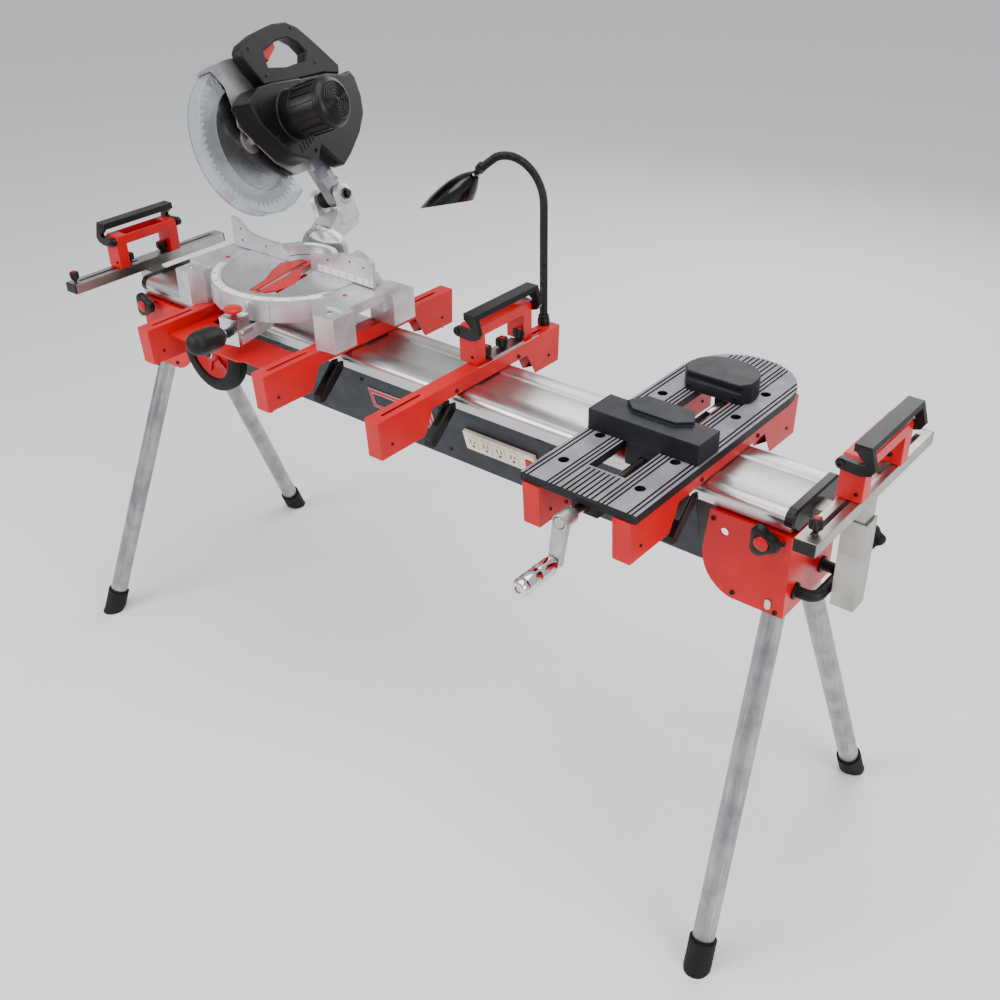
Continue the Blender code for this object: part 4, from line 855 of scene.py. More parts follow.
def supports():
    """Red bridge supports with black bolts, and the hooked flip bars with their pivot screws."""
    for name in ("left", "right", "middle"):
        node = "support_" + name
        eased(node, RED, 0.0012)
        stop = "stop_" + name
        eased(stop, BLACK, 0.0022, 40)
        low, high = box(node)
        low, high = low - STAND, high - STAND
        x = (low[0] + high[0]) / 2
        inner = [(x, low[1] + 0.026, low[2] + 0.016), (x, high[1] - 0.026, low[2] + 0.016)]
        screws(node + "_front_bolt", inner[:1], (0, 1, 0), node, 0.0045, 0.003)
        screws(node + "_rear_bolt", inner[1:], (0, -1, 0), node, 0.0045, 0.003)
        faces = [(x - 0.012, low[1], high[2] - 0.010), (x + 0.010, low[1], low[2] + 0.014)]
        screws(node + "_end_screws", faces, (0, -1, 0), node, 0.0032, 0.0018)
        pivot = spot(stop + "_flip") - STAND
        end_low, end_high = box(stop)
        for label, edge, out in (("front", end_low[1], -1), ("rear", end_high[1], 1)):
            place = (pivot[0], edge - STAND[1], pivot[2])
            screws("%s_pivot_%s" % (stop, label), [place], (0, out, 0), stop, 0.0058,
                   0.0028)


# ---------------------------------------------------------------- sliding mounts
def channels():
    """Folded red channels with their clamp screws, feet bolts and the slot knobs of the middle one."""
    for node in ("saw_channel_left", "saw_channel_right", "support_channel", "vise_channel_left",
                 "vise_channel_right"):
        body = frame["nodes"][node]["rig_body"]
        eased(node, RED, 0.0010)
        low, high = box(node)
        low, high = low - STAND, high - STAND
        x = (low[0] + high[0]) / 2
        under = [(x, y, low[2] + 0.0002) for y in (low[1] + 0.022, high[1] - 0.020)]
        studs = [aim(lathe([(0, 0), (0.0060, 0), (0.0060, 0.004), (0.0035, 0.0055), (0.0035, 0.010),
                            (0, 0.0105)], 20),
                     put(place, "stand"), -Z) for place in under]
        build(node + "_feet", studs, OXIDE, body)
        sides = [(high[0], y, low[2] + 0.022) for y in (low[1] + 0.030, high[1] - 0.035)]
        screws(node + "_side_screws", sides, X, body, 0.0030, 0.0016)
        clamps = [(high[0], y, 0.7955) for y in (-0.088, 0.088)]
        screws(node + "_clamp_screws", clamps, X, body, 0.0040, 0.0022)
    low, high = box("support_channel")
    x = (low[0] + high[0]) / 2 - STAND[0]
    top = high[2]
    base = middle_y("support_middle")
    for k, y in enumerate((base - 0.047, base, base + 0.050)):
        body = "support_middle"
        knob("channel_knob_%d" % k, (x, y, top + 0.0008), Z, 0.0125, 0.007, body, lobes=5)
    edge = high[0] - STAND[0]
    rail = brick((x - 0.0150, base - 0.046, top + 0.0004), (x + 0.0150, base + 0.046, top + 0.0055), 0.0006)
    build("middle_support_rail", [put(rail, "stand")], RAIL, "support_middle")
    strip = brick((edge - 0.0030, base - 0.085, top - 0.0002), (edge - 0.0002, base + 0.090, top + 0.0012),
                  0.0004)
    build("channel_scale_strip", [put(strip, "stand")], ZINC, "support_mount")
    eased("saw_mount_plate", RED, 0.0008)
    for node in ("saw_release_lever", "support_release_lever", "vise_release_lever"):
        eased(node, BLACK, 0.0014)
        low, high = box(node)
        pivot = spot(node + "_pull") - STAND
        for label, x, out in (("a", low[0] - STAND[0], -1), ("b", high[0] - STAND[0], 1)):
            screws("%s_pin_%s" % (node, label), [(x, pivot[1], pivot[2])], (out, 0, 0), node,
                   0.004, 0.002)


def lamp():
    """Gooseneck of pressed rings, stepped sockets, a bell cut slantwise into a hood, and its bulb."""
    foot, hinge = spot("lamp_swivel"), spot("lamp_shade_tilt")
    bend, centre_z = 0.077, 1.048
    down = np.array([-0.69, 0, -0.72])
    down /= np.linalg.norm(down)
    curve = arc(foot[0] - bend, centre_z, bend, 2, 118, 24)
    rise = np.c_[np.linspace(foot[0], curve[0, 0], 12), np.linspace(foot[2] + 0.002, centre_z, 12)][:-1]
    last = (hinge - down * 0.014)[[0, 2]]
    flat = np.concatenate([rise, curve, [last]])
    route, even = dense(np.stack([flat[:, 0], np.full(len(flat), foot[1]), flat[:, 1]], 1), 0.00055)
    ripple = 0.0074 + 0.00055 * np.cos(even * 2 * np.pi / 0.0034)
    build("gooseneck", [tube(route, ripple, 26, Y)], BLACK, "lamp_neck", ("lamp_neck",))
    socket = lathe([(0, 0), (0.0118, 0), (0.0118, 0.010), (0.0106, 0.012), (0.0106, 0.018), (0.0088, 0.020),
                    (0, 0.020)], 36)
    build("gooseneck_socket", [aim(socket, foot + (0, 0, 0.0006), Z)], BLACK, "lamp_neck")
    ferrule = lathe([(0, -0.006), (0.0098, -0.006), (0.0098, 0.006), (0.0085, 0.008), (0, 0.008)], 36)
    build("gooseneck_ferrule", [aim(ferrule, hinge - down * 0.018, down)], BLACK, "lamp_neck")
    tongue = lathe([(0, -0.0020), (0.0055, -0.0020), (0.0055, 0.0020), (0, 0.0020)], 28)
    neck = brick((-0.0050, -0.0020, -0.0150), (0.0050, 0.0020, 0.0), 0.0004)
    build("gooseneck_tongue", [aim(tongue, hinge, Y), aim(neck, hinge, down, Y)], BLACK, "lamp_neck")
    away = np.array([0.289, -0.154, -0.943])
    rim_point = hinge + (-0.0695, 0, -0.072)
    distance = np.array([0, 0.004, 0.010, 0.018, 0.026, 0.038, 0.050, 0.065, 0.080, 0.110, 0.180])
    width = np.array([0.0105, 0.0128, 0.0160, 0.0198, 0.0230, 0.0268, 0.0300, 0.0328, 0.0350, 0.0380,
                      0.0390])
    start_at = hinge + down * 0.0075
    angle = np.linspace(0, 2 * np.pi, 72, endpoint=False)
    across = np.cross(Y, down)
    spoke = np.cos(angle)[:, None] * across + np.sin(angle)[:, None] * Y
    reach = np.full(72, 0.10)
    for _ in range(40):
        edge = start_at + down * reach[:, None] + spoke * np.interp(reach, distance, width)[:, None]
        reach = np.clip(reach - (edge - rim_point) @ away / (down @ away) * 0.7, 0.02, 0.178)
    share = np.linspace(0, 1, 30)[:, None] * reach
    outer = start_at + share[..., None] * down + np.interp(share, distance, width)[..., None] * spoke
    thin = np.interp(share, distance, width) - 0.0018
    inner = start_at + (share * 0.985 + 0.0012)[..., None] * down + thin[..., None] * spoke
    roll = (outer[-1] + inner[-1]) / 2 + away * 0.0006
    shade = np.concatenate([outer, roll[None], inner[::-1], inner[:1] * 0 + start_at + down * 0.003])
    top = np.broadcast_to(start_at, (1, 72, 3))
    build("lamp_hood", [np.concatenate([top, shade])], GLOSSY, "lamp_shade", ("lamp_shade",
                                                                                               ), 50)
    ear = slab([(-0.0055, -0.0052), (0.0045, -0.0052), (0.0085, -0.006), (0.0085, 0.006), (0.0045, 0.0052),
                (-0.0055, 0.0052)],
               -0.0018, 0.0018, 0.0005)
    turn = np.stack([down, across, Y])
    ears = [ear @ turn + hinge + Y * y for y in (-0.0044, 0.0044)]
    build("lamp_hood_ears", ears, GLOSSY, "lamp_shade")
    pin = lathe([(0, -0.0082), (0.0026, -0.0082), (0.0026, 0.0082), (0, 0.0082)], 18)
    build("lamp_hinge_pin", [aim(pin, hinge, Y)], ZINC, "lamp_shade")
    ball = np.linspace(0, np.pi, 14)
    bulb = lathe(np.c_[np.sin(ball) * 0.015 + 1e-9, 0.034 - np.cos(ball) * 0.018], 32)
    holder = lathe([(0, 0.004), (0.0085, 0.004), (0.0095, 0.012), (0.0095, 0.020), (0, 0.020)], 28)
    build("lamp_bulb", [aim(bulb, start_at + down * 0.002, down)], BULB, "lamp_shade")
    build("lamp_bulb_holder", [aim(holder, start_at, down)], BLACK, "lamp_shade")


# ---------------------------------------------------------------- vise
def vise():
    """Grooved top and humped jaws. The lead screw is a turned rod whose radius swings between crest and root
    once each pitch; the crank arm is two arcs joined and extruded, and its grip a turned barrel."""
    low, high = box("vise_table")
    centre = (low[0] + high[0]) / 2
    opening = (-0.205 + STAND[1], 0.150 + STAND[1])
    deep = high[2] - 0.0017
    cutters = []
    runs = [(x, low[1] - 0.01, high[1] + 0.01) for x in (0.0975, 0.0900, 0.0540, 0.0465, 0.0390)]
    runs += [(-x, a, b) for x, a, b in runs]
    for x in (-0.027, -0.018, -0.009, 0.0, 0.009, 0.018, 0.027):
        runs += [(x, low[1] - 0.01, opening[0] - 0.004), (x, opening[1] + 0.038, high[1] + 0.01)]
    for x, a, b in runs:
        cutters.append(slab([(centre + x - 0.0019, a), (centre + x + 0.0019, a), (centre + x + 0.0019, b),
                             (centre + x - 0.0019, b)], deep, high[2] + 0.005, 0.00001))
    eased("vise_table", TOP, 0.0, 30, grooved(merged_copy("vise_table"), cutters))
    eased("vise_rear_jaw", IRON, 0.0022)
    eased("vise_jaw", IRON, 0.0024)
    body = "vise_mount"
    rear_low = box("vise_rear_jaw")[0]
    face = [(rear_low[0] + x, rear_low[1], rear_low[2] + 0.010) for x in (0.020, 0.108)]
    screws("rear_jaw_screws", face, (0, -1, 0), body, 0.0038, 0.0018, where="world")
    pivot = spot("vise_screw_turn")
    x, z = pivot[0], pivot[2]
    screw_low, screw_high = box("vise_screw")
    front = screw_low[1]
    hub_front = STAND[1] - 0.326
    shaft_end = screw_high[1]
    turns = 34
    thread = [(0, shaft_end)]
    pitch = 0.0022
    for turn in range(turns):
        thread += [(0.0079, shaft_end - 0.002 - pitch * turn), (0.0070, shaft_end - 0.0031 - pitch * turn)]
    low_end = shaft_end - 0.004 - pitch * turns
    thread += [(0.0079, low_end), (0.0079, hub_front + 0.03), (0, hub_front + 0.03)]
    shaft = lathe([(r, y - pivot[1]) for r, y in reversed(thread)], 40)
    hub = lathe([(0, 0.0), (0.0105, 0.0), (0.0128, 0.0015), (0.0134, 0.004), (0.0134, 0.030),
                 (0.0122, 0.0325),
                 (0.0079, 0.0325), (0, 0.0325)], 48)
    grip_axis = spot("crank_grip_spin")
    pin_z, pin_x = grip_axis[2] - z, grip_axis[0] - x
    lean = math.atan2(pin_x, -pin_z)
    reach = math.hypot(pin_x, pin_z)
    side = np.concatenate([arc(0, 0, 0.0132, 0, 180, 14), arc(0, -reach, 0.0112, 180, 360, 14)])
    spin = np.array([[math.cos(lean), -math.sin(lean)], [math.sin(lean), math.cos(lean)]])
    arm = slab(side @ spin.T, 0.0, 0.0135, 0.0018)
    arm = arm[..., [0, 2, 1]] + (x, hub_front, z)
    pin = lathe([(0, 0), (0.0055, 0), (0.0055, -(front - hub_front)),
                 (0.0042, -(front - hub_front) + 0.001),
                 (0, -(front - hub_front) + 0.001)], 28)
    pin = aim(pin, (grip_axis[0], hub_front, grip_axis[2]), -Y)
    boss = aim(lathe([(0, -0.0012), (0.0085, -0.0012), (0.0100, 0.001), (0.0100, 0.006), (0, 0.006)], 36),
               (x, hub_front, z), Y)
    build("vise_screw_rod", [aim(shaft, (x, pivot[1], z), Y)], ZINC, "vise_screw",
          ("vise_screw",))
    build("vise_crank_arm", [arm, aim(hub, (x, hub_front, z), Y), boss], STEEL_CAST, "vise_screw")
    build("vise_crank_pin", [pin], ZINC, "vise_screw")
    grip_low, grip_high = box("crank_grip")
    radius = (grip_high[2] - grip_low[2]) / 2
    length = grip_high[1] - grip_low[1]
    profile = [(0.0060, 0), (radius * 0.72, 0), (radius * 0.88, 0.0015), (radius * 0.98, 0.006),
               (radius, 0.012),
               (radius, length * 0.45), (radius * 0.97, length * 0.47), (radius, length * 0.49),
               (radius, length - 0.016), (radius * 0.97, length - 0.015), (radius * 0.97, length - 0.013),
               (radius, length - 0.012), (radius * 0.99, length - 0.006), (radius * 0.88, length - 0.0015),
               (radius * 0.70, length), (0.0060, length), (0.0060, 0)]
    grip = aim(lathe(profile, 64), (grip_axis[0], grip_high[1], grip_axis[2]), -Y)
    build("crank_grip_barrel", [grip], CHROME, "crank_grip", ("crank_grip",))
    nut = [(centre + sx, low[1] + 0.003, high[2] - 0.024) for sx in (-0.020, 0.020)]
    screws("vise_nut_screws", nut, (0, -1, 0), body, 0.0035, 0.002, where="world")


# ---------------------------------------------------------------- saw, base
def number(text, size, turn, place):
    """A short generic number as a flat mesh, turned and moved; its letters are merged closed shells."""
    curve = bpy.data.curves.new("number", "FONT")
    curve.body = text
    curve.size = size
    curve.align_x = curve.align_y = "CENTER"
    curve.extrude = 0.00012
    curve.resolution_u = 3
    holder = bpy.data.objects.new("number", curve)
    bpy.context.scene.collection.objects.link(holder)
    bpy.context.view_layer.update()
    mesh = bpy.data.meshes.new_from_object(holder.evaluated_get(bpy.context.evaluated_depsgraph_get()))
    bpy.data.objects.remove(holder, do_unlink=True)
    mesh.transform(Matrix.Translation(Vector(place)) @ Matrix.Rotation(turn, 4, "Z"))
    return mesh


def merged(name, meshes, finish, body):
    """Several small meshes as one piece."""
    shape = bmesh.new()
    for mesh in meshes:
        shape.from_mesh(mesh)
    bmesh.ops.remove_doubles(shape, verts=shape.verts, dist=1e-6)
    bmesh.ops.recalc_face_normals(shape, faces=shape.faces)
    result = bpy.data.meshes.new(name)
    shape.to_mesh(result)
    shape.free()
    return finish_piece(name, result, finish, body, (), 35, 0.0)


def saw_base():
    """Blasted casting. Its scale is a flat band between two arcs, with a tick each degree turned about the
    table's middle, generic numbers, red pointers and the screws of both wings."""
    eased("saw_base", CAST, 0.0022)
    body, slot = "saw_mount", "cast_aluminium"
    top = -0.0020
    first, last = 205, 335
    outer, inner = arc(0, 0, 0.1650, first, last, 60), arc(0, 0, 0.1480, last, first, 60)
    band = slab(np.concatenate([outer, inner]), top + 0.0001, top + 0.0006, 0.0001)
    build("scale_band", [put(band, "base")], PALE, body)
    ticks = []
    for degree in range(-55, 56):
        tall = 0.0060 if degree % 5 == 0 else 0.0036
        tick = brick((-0.00022, 0.1486, top + 0.0005), (0.00022, 0.1486 + tall, top + 0.0008), 0.00005)
        ticks.append(put(swing(tick, 180 + degree, "Z"), "base"))
    build("scale_ticks", ticks, DARK_PRINT_AND_SHADE, body)
    numbers = []
    for degree in (-45, -30, -15, 0, 15, 30, 45):
        angle = math.radians(degree)
        place = put(np.array([math.sin(angle), -math.cos(angle), 0]) * 0.1598 + (0, 0, top + 0.0007),
                    "base")
        numbers.append(number(str(abs(degree)), 0.0062, angle, place))
    merged("scale_numbers", numbers, DARK_PRINT_AND_SHADE, body)
    marks = []
    for degree in (-31.6, -22.5, -15, 15, 22.5, 31.6):
        mark = slab([(-0.0016, 0.1560), (0.0016, 0.1560), (0, 0.1525)], top + 0.0005, top + 0.0009, 0.0001)
        marks.append(put(swing(mark, 180 + degree, "Z"), "base"))
    build("scale_pointers", marks, RED_INK, body)
    holes = [(-0.182, -0.115, -0.006), (0.208, -0.112, -0.006), (-0.182, 0.060, -0.014), (0.202, 0.060,
                                                                                          -0.014)]
    screws("base_bolts", holes, Z, body, 0.0060, 0.0030, ZINC, "base")
    wings = [(-0.160, -0.040, -0.0024), (0.175, -0.040, -0.0024), (-0.158, 0.026, -0.0024), (0.172, 0.024,
                                                                                             -0.0024)]
    screws("wing_screws", wings, Z, body, 0.0048, 0.0016, RED_PLASTIC, "base")
    ribs = []
    for angle in (-118, -104, -76, -62):
        rib = brick((-0.0022, 0.1655, -0.0440), (0.0022, 0.1705, -0.0080), 0.0010)
        ribs.append(put(swing(rib, angle - 90, "Z"), "base"))
    build("base_skirt_ribs", ribs, CAST, body)


def turntable():
    """Machined disc and red kerf insert. The handle is turned, its radius a bulge with twelve shallow waves,
    and the detent's cap a turned button with two lobes."""
    eased("turntable", MACHINED, 0.0009)
    eased("kerf_insert", RED_PLASTIC, 0.0004)
    screws("insert_screws", [(0.003, -0.128, -0.0006), (-0.012, 0.036, -0.0006)], Z, "turntable",
           0.0030, 0.0006,
           OXIDE, "saw")
    start_at = spot("miter_handle_twist")
    profile = [(0, 0), (0.0085, 0), (0.0085, 0.020), (0.0125, 0.0235), (0.0170, 0.0270), (0.0208, 0.034),
               (0.0226, 0.044), (0.0232, 0.058), (0.0230, 0.080), (0.0214, 0.091), (0.0180, 0.0985),
               (0.0120, 0.1030),
               (0, 0.1045)]
    way_out = direction((0, -1, 0.16), "saw")
    build("miter_grip", [aim(lathe(profile, 72, 12, 0.012), start_at, way_out)], GRIP, "miter_handle",
          ("miter_handle",))
    ring = lathe([(0.0086, 0.0195), (0.0122, 0.0195), (0.0122, 0.0215), (0.0086, 0.0215), (0.0086, 0.0195)],
                 40)
    build("miter_grip_collar", [aim(ring, start_at, way_out)], ZINC, "miter_handle")
    low, high = box("detent_lever")
    centre = (low + high) / 2 * (1, 1, 0) + (0, 0, low[2])
    tall = high[2] - low[2]
    cap = [(0, 0), (0.006, 0), (0.006, 0.0055), (0.0165, 0.0080), (0.0180, 0.0100), (0.0178, 0.0130),
           (0.0155, 0.0150),
           (0.0080, tall - 0.0006), (0, tall)]
    build("detent_cap", [aim(lathe(cap, 56, 2, 0.03), centre, Z)], RED_PLASTIC, "detent_lever",
          ("detent_lever",))
    lock = slab(pill(0.034, 0.010), -0.003, 0.003, 0.0012)
    lock = put(lock @ np.stack([Y, Z, X]) + (0.0215, -0.200, -0.050), "saw")
    build("detent_spring_arm", [lock], ZINC, "turntable")
    ribs = [put(brick((sx - 0.0015, -0.214, -0.0735), (sx + 0.0015, -0.120, -0.046), 0.0008), "saw")
            for sx in (-0.0195, 0.0195)]
    build("handle_arm_ribs", ribs, CAST, "turntable")


def fence():
    """Machined fence faces with small screws and printed height marks on the right wing."""
    eased("fence", CAST, 0.0010)
    body = "saw_mount"
    face = 0.0120
    places = [(-0.172, face, 0.040), (-0.172, face, 0.016), (-0.100, face, 0.018), (0.080, face, 0.030),
              (0.176, face, 0.036),
              (0.140, face, 0.040)]
    screws("fence_screws", places, (0, -1, 0), body, 0.0022, 0.0006, OXIDE, "base")
    strip = put(brick((0.050, face - 0.0004, 0.0030), (0.186, face + 0.001, 0.0150), 0.0002), "base")
    build("fence_label", [strip], PALE, body)
    vees, stems = [], []
    for k in range(6):
        x = 0.062 + 0.0225 * k
        vee = slab([(-0.0042, 0.0058), (-0.0030, 0.0058), (0, 0.0016), (0.0030, 0.0058), (0.0042, 0.0058),
                    (0, -0.0004)],
                   0, 0.0003, 0.00005)
        vees.append(put(vee[..., [0, 2, 1]] * (1, -1, 1) + (x, face - 0.0004, 0.0072), "base"))
        stem = brick((x - 0.0004, face - 0.0007, 0.0038), (x + 0.0004, face - 0.0003, 0.0072), 0.00005)
        stems.append(put(stem, "base"))
    build("fence_marks", vees, ORANGE_INK, body)
    build("fence_mark_stems", stems, DARK_PRINT_AND_SHADE, body)
    bolts = [(sx, 0.036, 0.0100) for sx in (-0.157, 0.157)]
    hex_bolts("fence_bolts", bolts, Z, body, 0.0050, 0.004, ZINC, "base")


# ---------------------------------------------------------------- saw, head
def bevel_arm():
    """Casting on the bevel axis: the torsion spring is a helix of round wire about the chop axis, and the
    bevel's degree ticks are bars turned about the bevel axis."""
    eased("arm_support", CAST, 0.0020)
    body, slot = "bevel_arm", "cast_aluminium"
    chop = spot("head_chop")
    local = (chop - TABLE) @ AXES["head"][0].T
    s, h = local[1], local[2]
    winding = coil(0.0158, 0.0016, 0.0036, 5.6)
    build("torsion_spring", [aim(winding, put((-0.0255, s, h), "head"), direction(X, "head"))], OXIDE, body,
          smooth=80)
    hex_bolts("chop_pivot_nut", [(-0.0462, s, h)], (-1, 0, 0), body, 0.0085, 0.007, ZINC,
              "head")
    hex_bolts("chop_pivot_head", [(0.0382, s, h)], (1, 0, 0), body, 0.0085, 0.007, OXIDE,
              "head")
    rings = [(0.0120, 0), (0.0205, 0), (0.0205, 0.0014), (0.0185, 0.0020), (0.0120, 0.0020), (0.0120, 0)]
    for label, x, out in (("left", -0.0422, -1), ("right", 0.0342, 1)):
        ring = aim(lathe(rings, 48), put((x, s, h), "head"), direction((out, 0, 0), "head"))
        build("ear_ring_" + label, [ring], MACHINED, body)
    pin = lathe([(0, -0.028), (0.0042, -0.028), (0.0048, -0.026), (0.0048, 0.022), (0.0036, 0.024),
                 (0.0036, 0.030),
                 (0, 0.031)], 28)
    build("stop_pin", [aim(pin, put((-0.008, s + 0.016, h + 0.034), "head"), direction((1, 0, 0), "head"))],
          CHROME,
          "saw_head")
    screws("bevel_lock_nut", [(0, 0.1272, 0)], (0, 1, 0), body, 0.0115, 0.008, OXIDE,
           "head")
    lever = slab(pill(0.046, 0.012), -0.0035, 0.0035, 0.0015)
    lever = lever @ np.stack([Z, X, Y]) + (0.0, 0.1400, 0.016)
    build("bevel_lock_lever", [put(lever, "head")], BLACK, body)
    hex_bolts("stop_bolts", [(0.010, 0.1950, 0.0625), (-0.018, 0.1950, 0.0625)], (0, 0, 1), body,
              0.0040, 0.009, ZINC, "head")
    pointer = slab([(-0.0040, 0), (0.0040, 0), (0.0008, 0.014), (-0.0008, 0.014)], 0, 0.0010, 0.0003)
    pointer = pointer[..., [0, 2, 1]] * (1, -1, 1) + (0.0, 0.1084, 0.0420)
    build("bevel_pointer", [put(pointer, "head")], RED_INK, body)
    ticks = []
    for degree in range(-50, 51, 5):
        tick = brick((-0.0004, -0.0004, 0.0440), (0.0004, 0.0002, 0.0500 if degree % 15 == 0 else 0.0475),
                     0.00008)
        ticks.append(put(swing(tick, degree, "Y") + (0, 0.0938, 0), "saw"))
    build("bevel_scale_ticks", ticks, DARK_PRINT_AND_SHADE, "turntable")


def saw_head():
    """Dull cast guard, D-handle, trigger and rear cover with eased edges. The motor's end cap has concentric
    raised rings, and its barrel has bands and fins turned about its axis."""
    eased("head_casting", DULL, 0.0012)
    eased("motor_housing", BLACK, 0.0030, 40)
    cover = merged_copy("belt_cover")
    turn, origin = AXES["head"]
    flat = np.empty(len(cover.vertices) * 3, np.float32)
    cover.vertices.foreach_get("co", flat)
    local = (flat.reshape(-1, 3) - origin) @ turn.T
    # Past 0.27 m along the head's Y the cover is drawn longer than its solid, by 5.5 mm from 0.30 m on.
    local[:, 1] += 0.0055 * np.clip((local[:, 1] - 0.27) / 0.03, 0, 1)
    cover.vertices.foreach_set("co", (local @ turn + origin).astype(np.float32).ravel())
    eased("belt_cover", BLACK, 0.0050, 40, cover)
    eased("d_handle", GRIP, 0.0075, 50)
    eased("trigger", RED_PLASTIC, 0.0012)
    body, slot = "saw_head", "black_plastic"
    face = 0.060 + 0.116
    centre = np.array([0, 0.088, 0.266])
    rings = []
    for k in range(1, 7):
        r = 0.0415 - 0.0058 * k
        rings.append(lathe([(r, 0), (r, 0.0011), (r - 0.0007, 0.0018), (r - 0.0024, 0.0018),
                            (r - 0.0031, 0.0011),
                            (r - 0.0031, 0), (r, 0)], 72))
    out = direction((1, 0, 0), "head")
    cap_face = face - 0.0004
    raised = [aim(ring, put(centre + (cap_face, 0, 0), "head"), out) for ring in rings]
    build("motor_cap_rings", raised, GLOSSY, body)
    hub = lathe([(0, 0), (0.0048, 0), (0.0048, 0.0026), (0.0036, 0.0034), (0, 0.0034)], 32)
    build("motor_cap_boss", [aim(hub, put(centre + (cap_face, 0, 0), "head"), out)], BLACK, body)
    bands = []
    for x, r, wide in ((0.0950, 0.0488, 0.0030), (0.1560, 0.0487, 0.0022), (0.1620, 0.0487, 0.0022)):
        bands.append(aim(lathe([(r - 0.003, 0), (r, 0), (r + 0.0004, 0.0006), (r + 0.0004, wide - 0.0006),
                                (r, wide),
                                (r - 0.003, wide), (r - 0.003, 0)], 72), put(centre + (x, 0, 0), "head"),
                                out))
    build("motor_bands", bands, BLACK, body)
    fins = []
    for k in range(9):
        fin = brick((0.0465, -0.0012, 0.100), (0.0500, 0.0012, 0.154), 0.0008)
        fins.append(put(swing(fin, 100 + 20 * k, "Z")[..., [2, 0, 1]] + centre, "head"))
    build("motor_fins", fins, BLACK, body)
    brush = lathe([(0, 0), (0.0085, 0), (0.0085, 0.0020), (0.0070, 0.0032), (0, 0.0032)], 36)
    top = put(centre + (0.128, 0.004, 0.0478), "head")
    build("brush_cap", [aim(brush, top, direction((0, 0, 1), "head"))], BLACK, body)
    # The gear case's vent slots are thin dark bars proud of the case: painted shade where real openings would
    # be.
    vents = []
    for k in range(5):
        vent = brick((0.0675, 0.070 + 0.011 * k, 0.196 + 0.003 * k), (0.0690, 0.0745 + 0.011 * k,
                                                                      0.214 + 0.001 * k), 0.0006)
        vents.append(put(vent, "head"))
    build("gear_case_vents", vents, DARK_PRINT_AND_SHADE, body)
    places = [(0.0680, 0.004, 0.300), (0.0680, 0.140, 0.314), (0.0680, 0.112, 0.190), (0.0680, 0.020,
                                                                                       0.240)]
    screws("gear_case_screws", places, (1, 0, 0), body, 0.0040, 0.0022, OXIDE, "head")
    handle_screws = [(0.0452, 0.082, 0.350), (0.0452, 0.240, 0.342), (0.0452, 0.205, 0.418), (0.0452, 0.062,
                                                                                              0.405)]
    screws("handle_screws", handle_screws, (1, 0, 0), body, 0.0034, 0.0010, OXIDE, "head")
    guard_screws = [(-0.0185, 0.006, 0.330), (-0.0185, 0.090, 0.352), (-0.0185, 0.140, 0.270)]
    screws("guard_screws", guard_screws, (-1, 0, 0), body, 0.0040, 0.0022, ZINC, "head")
    label = slab([(-0.020, -0.011), (0.020, -0.011), (0.020, 0.011), (-0.020, 0.011)], 0, 0.0006, 0.0002)
    label = label @ np.stack([Y, Z, X]) + (0.0182, 0.158, 0.142)
    build("plain_label_plate", [put(label, "head")], LABEL, body)


def blade():
    """Saw plate of rings from the bore to a toothed rim. The rim's radius falls from each tip, stays low in
    the gullet and climbs to the next tip; a small carbide block sits on each."""
    centre = (spot("blade_spin") - TABLE) @ AXES["head"][0].T
    reach = np.linalg.norm((vertices("blade") - spot("blade_spin")), axis=1).max()
    teeth, steps = 60, 8
    turn = np.arange(teeth * steps) / steps
    share = turn % 1
    tall = np.where(share < 0.22, 1 - share / 0.22, np.clip((share - 0.42) / 0.58, 0, 1))
    tall = np.where(share < 0.10, 1.0, tall)
    edge = reach - 0.0004 - 0.0085 * (1 - tall)
    angle = 2 * np.pi * turn / teeth
    ring = np.stack([np.cos(angle), np.sin(angle)], 1)
    radii = np.concatenate([[0.006], np.linspace(0.02, reach - 0.012, 14)])
    rows = []
    for side in (-1, 1):
        levels_out = radii if side < 0 else radii[::-1]
        flat = [np.c_[np.full(len(turn), side * 0.0010), ring * r] for r in levels_out]
        tip = [np.c_[np.full(len(turn), side * 0.0010), ring * edge[:, None]]]
        rows += flat + tip if side < 0 else tip + flat
    rows.append(rows[0])
    plate = put(np.array(rows) + (0, centre[1], centre[2]), "head")
    build("saw_plate", [plate], BLADE, "blade", ("blade",), 30)
    tips = []
    for k in range(teeth):
        tip = brick((-0.0015, reach - 0.0052, -0.0010), (0.0015, reach - 0.0001, 0.0008), 0.0002)
        tips.append(put(swing(tip, 360 * (k + 0.05) / teeth, "X") + (0, centre[1], centre[2]), "head"))
    build("carbide_tips", tips, ZINC, "blade")
    flange = lathe([(0, -0.0060), (0.0095, -0.0060), (0.0095, -0.0036), (0.0235, -0.0036),
                    (0.0255, -0.0022), (0.0255, 0.0040),
                    (0.0120, 0.0052), (0.0120, 0.036), (0, 0.036)], 56)
    build("blade_flanges", [aim(flange, spot("blade_spin"), direction((1, 0, 0), "head"))], STEEL_CAST,
          "blade")
    hex_bolts("arbor_bolt", [(-0.0060, centre[1], centre[2])], (-1, 0, 0), "blade", 0.0070,
              0.0035, OXIDE,
              "head")


def lower_guard():
    """Clear guard with moulded ribs, each a thin bar turned about the arbor."""
    eased("lower_guard", CLEAR, 0.0008)
    centre = (spot("guard_swing") - TABLE) @ AXES["head"][0].T
    ribs = []
    reach = 0.1432
    for degree in range(116, 297, 15):
        rib = brick((-0.0152, 0.102, -0.0008), (-0.0146, reach - 0.004, 0.0008), 0.0002)
        ribs.append(put(swing(rib, degree, "X") + (0, centre[1], centre[2]), "head"))
    build("lower_guard_ribs", ribs, CLEAR, "lower_guard")


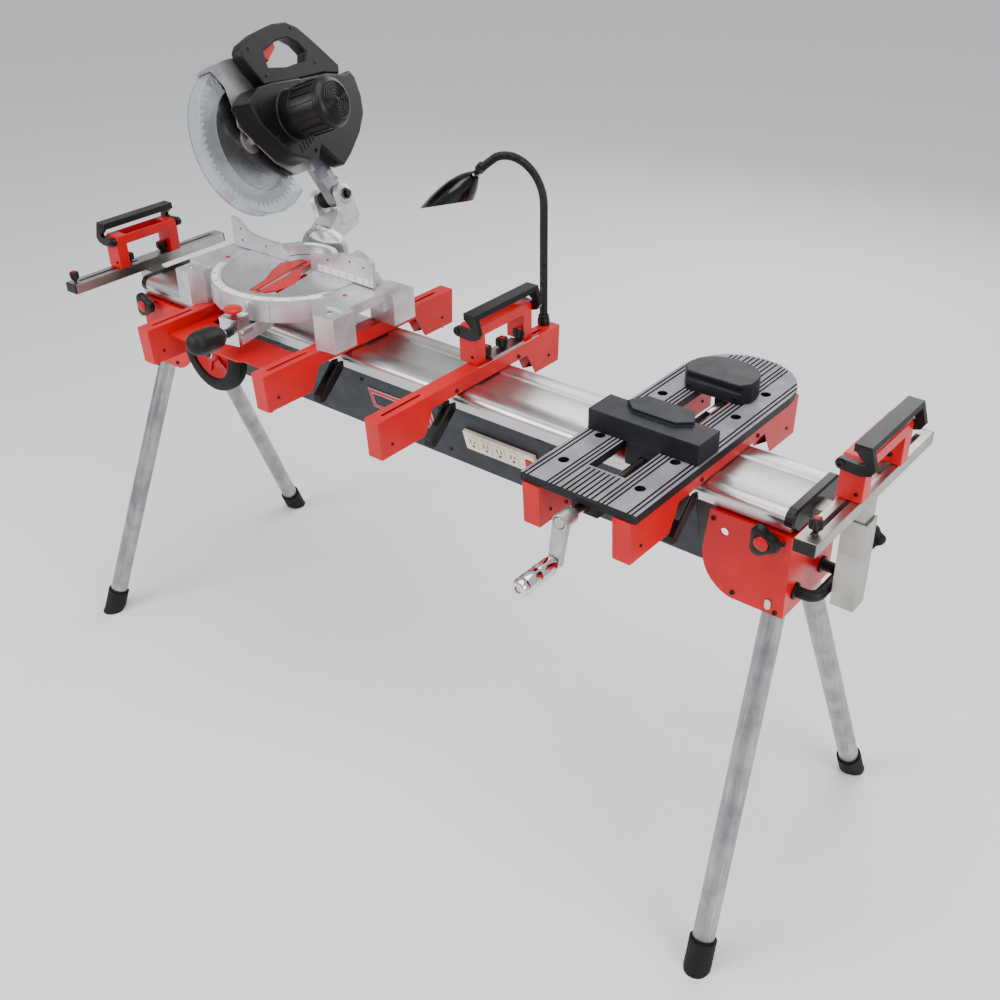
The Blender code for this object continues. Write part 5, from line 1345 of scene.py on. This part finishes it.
# ---------------------------------------------------------------- stage
def stage():
    """Pale floor, soft studio lights round the object, and the camera."""
    size = 14.0
    mesh = bpy.data.meshes.new("floor")
    mesh.from_pydata([(-size, -size, 0), (size, -size, 0), (size, size, 0), (-size, size, 0)], [],
                     [(0, 1, 2, 3)])
    floor = bpy.data.objects.new("floor", mesh)
    mesh.materials.append(start("pale_studio_floor", "#F1F1F1", 0.85)[0])
    bpy.context.scene.collection.objects.link(floor)
    world = bpy.data.worlds.new("studio")
    bpy.context.scene.world = world
    world.use_nodes = True
    background = world.node_tree.nodes["Background"]
    background.inputs["Color"].default_value = (0.92, 0.94, 0.97, 1)
    background.inputs["Strength"].default_value = 0.70
    target = Vector(STAND) + Vector((0, 0, 0.75))
    for name, place, wide, power in (("overhead", (0.2, -0.2, 3.2), 2.6, 60), ("key", (-1.6, -2.8, 2.4),
                                                                               1.8, 70),
                                     ("right_side", (3.2, -0.6, 2.0), 1.8, 55), ("rear", (-0.4, 3.0, 2.2),
                                                                                 2.2, 45)):
        light = bpy.data.lights.new(name, "AREA")
        light.size = wide
        light.energy = power
        holder = bpy.data.objects.new(name, light)
        bpy.context.scene.collection.objects.link(holder)
        holder.location = place
        holder.rotation_mode = "QUATERNION"
        holder.rotation_quaternion = (target - Vector(place)).to_track_quat("-Z", "Y")
    lens = bpy.data.cameras.new("camera")
    lens.lens = 43.8
    lens.sensor_width = 36.0
    eye = np.array([1.4157, -1.5221, 1.7704]) + STAND
    ahead = np.array([-0.54048, 0.65276, -0.53084])
    across = np.array([0.77672, 0.62963, -0.01659])
    down = np.array([0.32340, -0.42127, -0.84731])
    camera = bpy.data.objects.new("camera", lens)
    bpy.context.scene.collection.objects.link(camera)
    camera.matrix_world = Matrix(np.c_[np.stack([across, -down, -ahead], 1), eye].tolist() + [[0, 0, 0, 1]])
    bpy.context.scene.camera = camera


stage()
beam()
housing()
outlets()
brackets()
legs()
wheels()
extensions()
supports()
channels()
lamp()
vise()
saw_base()
turntable()
fence()
bevel_arm()
saw_head()
blade()
lower_guard()
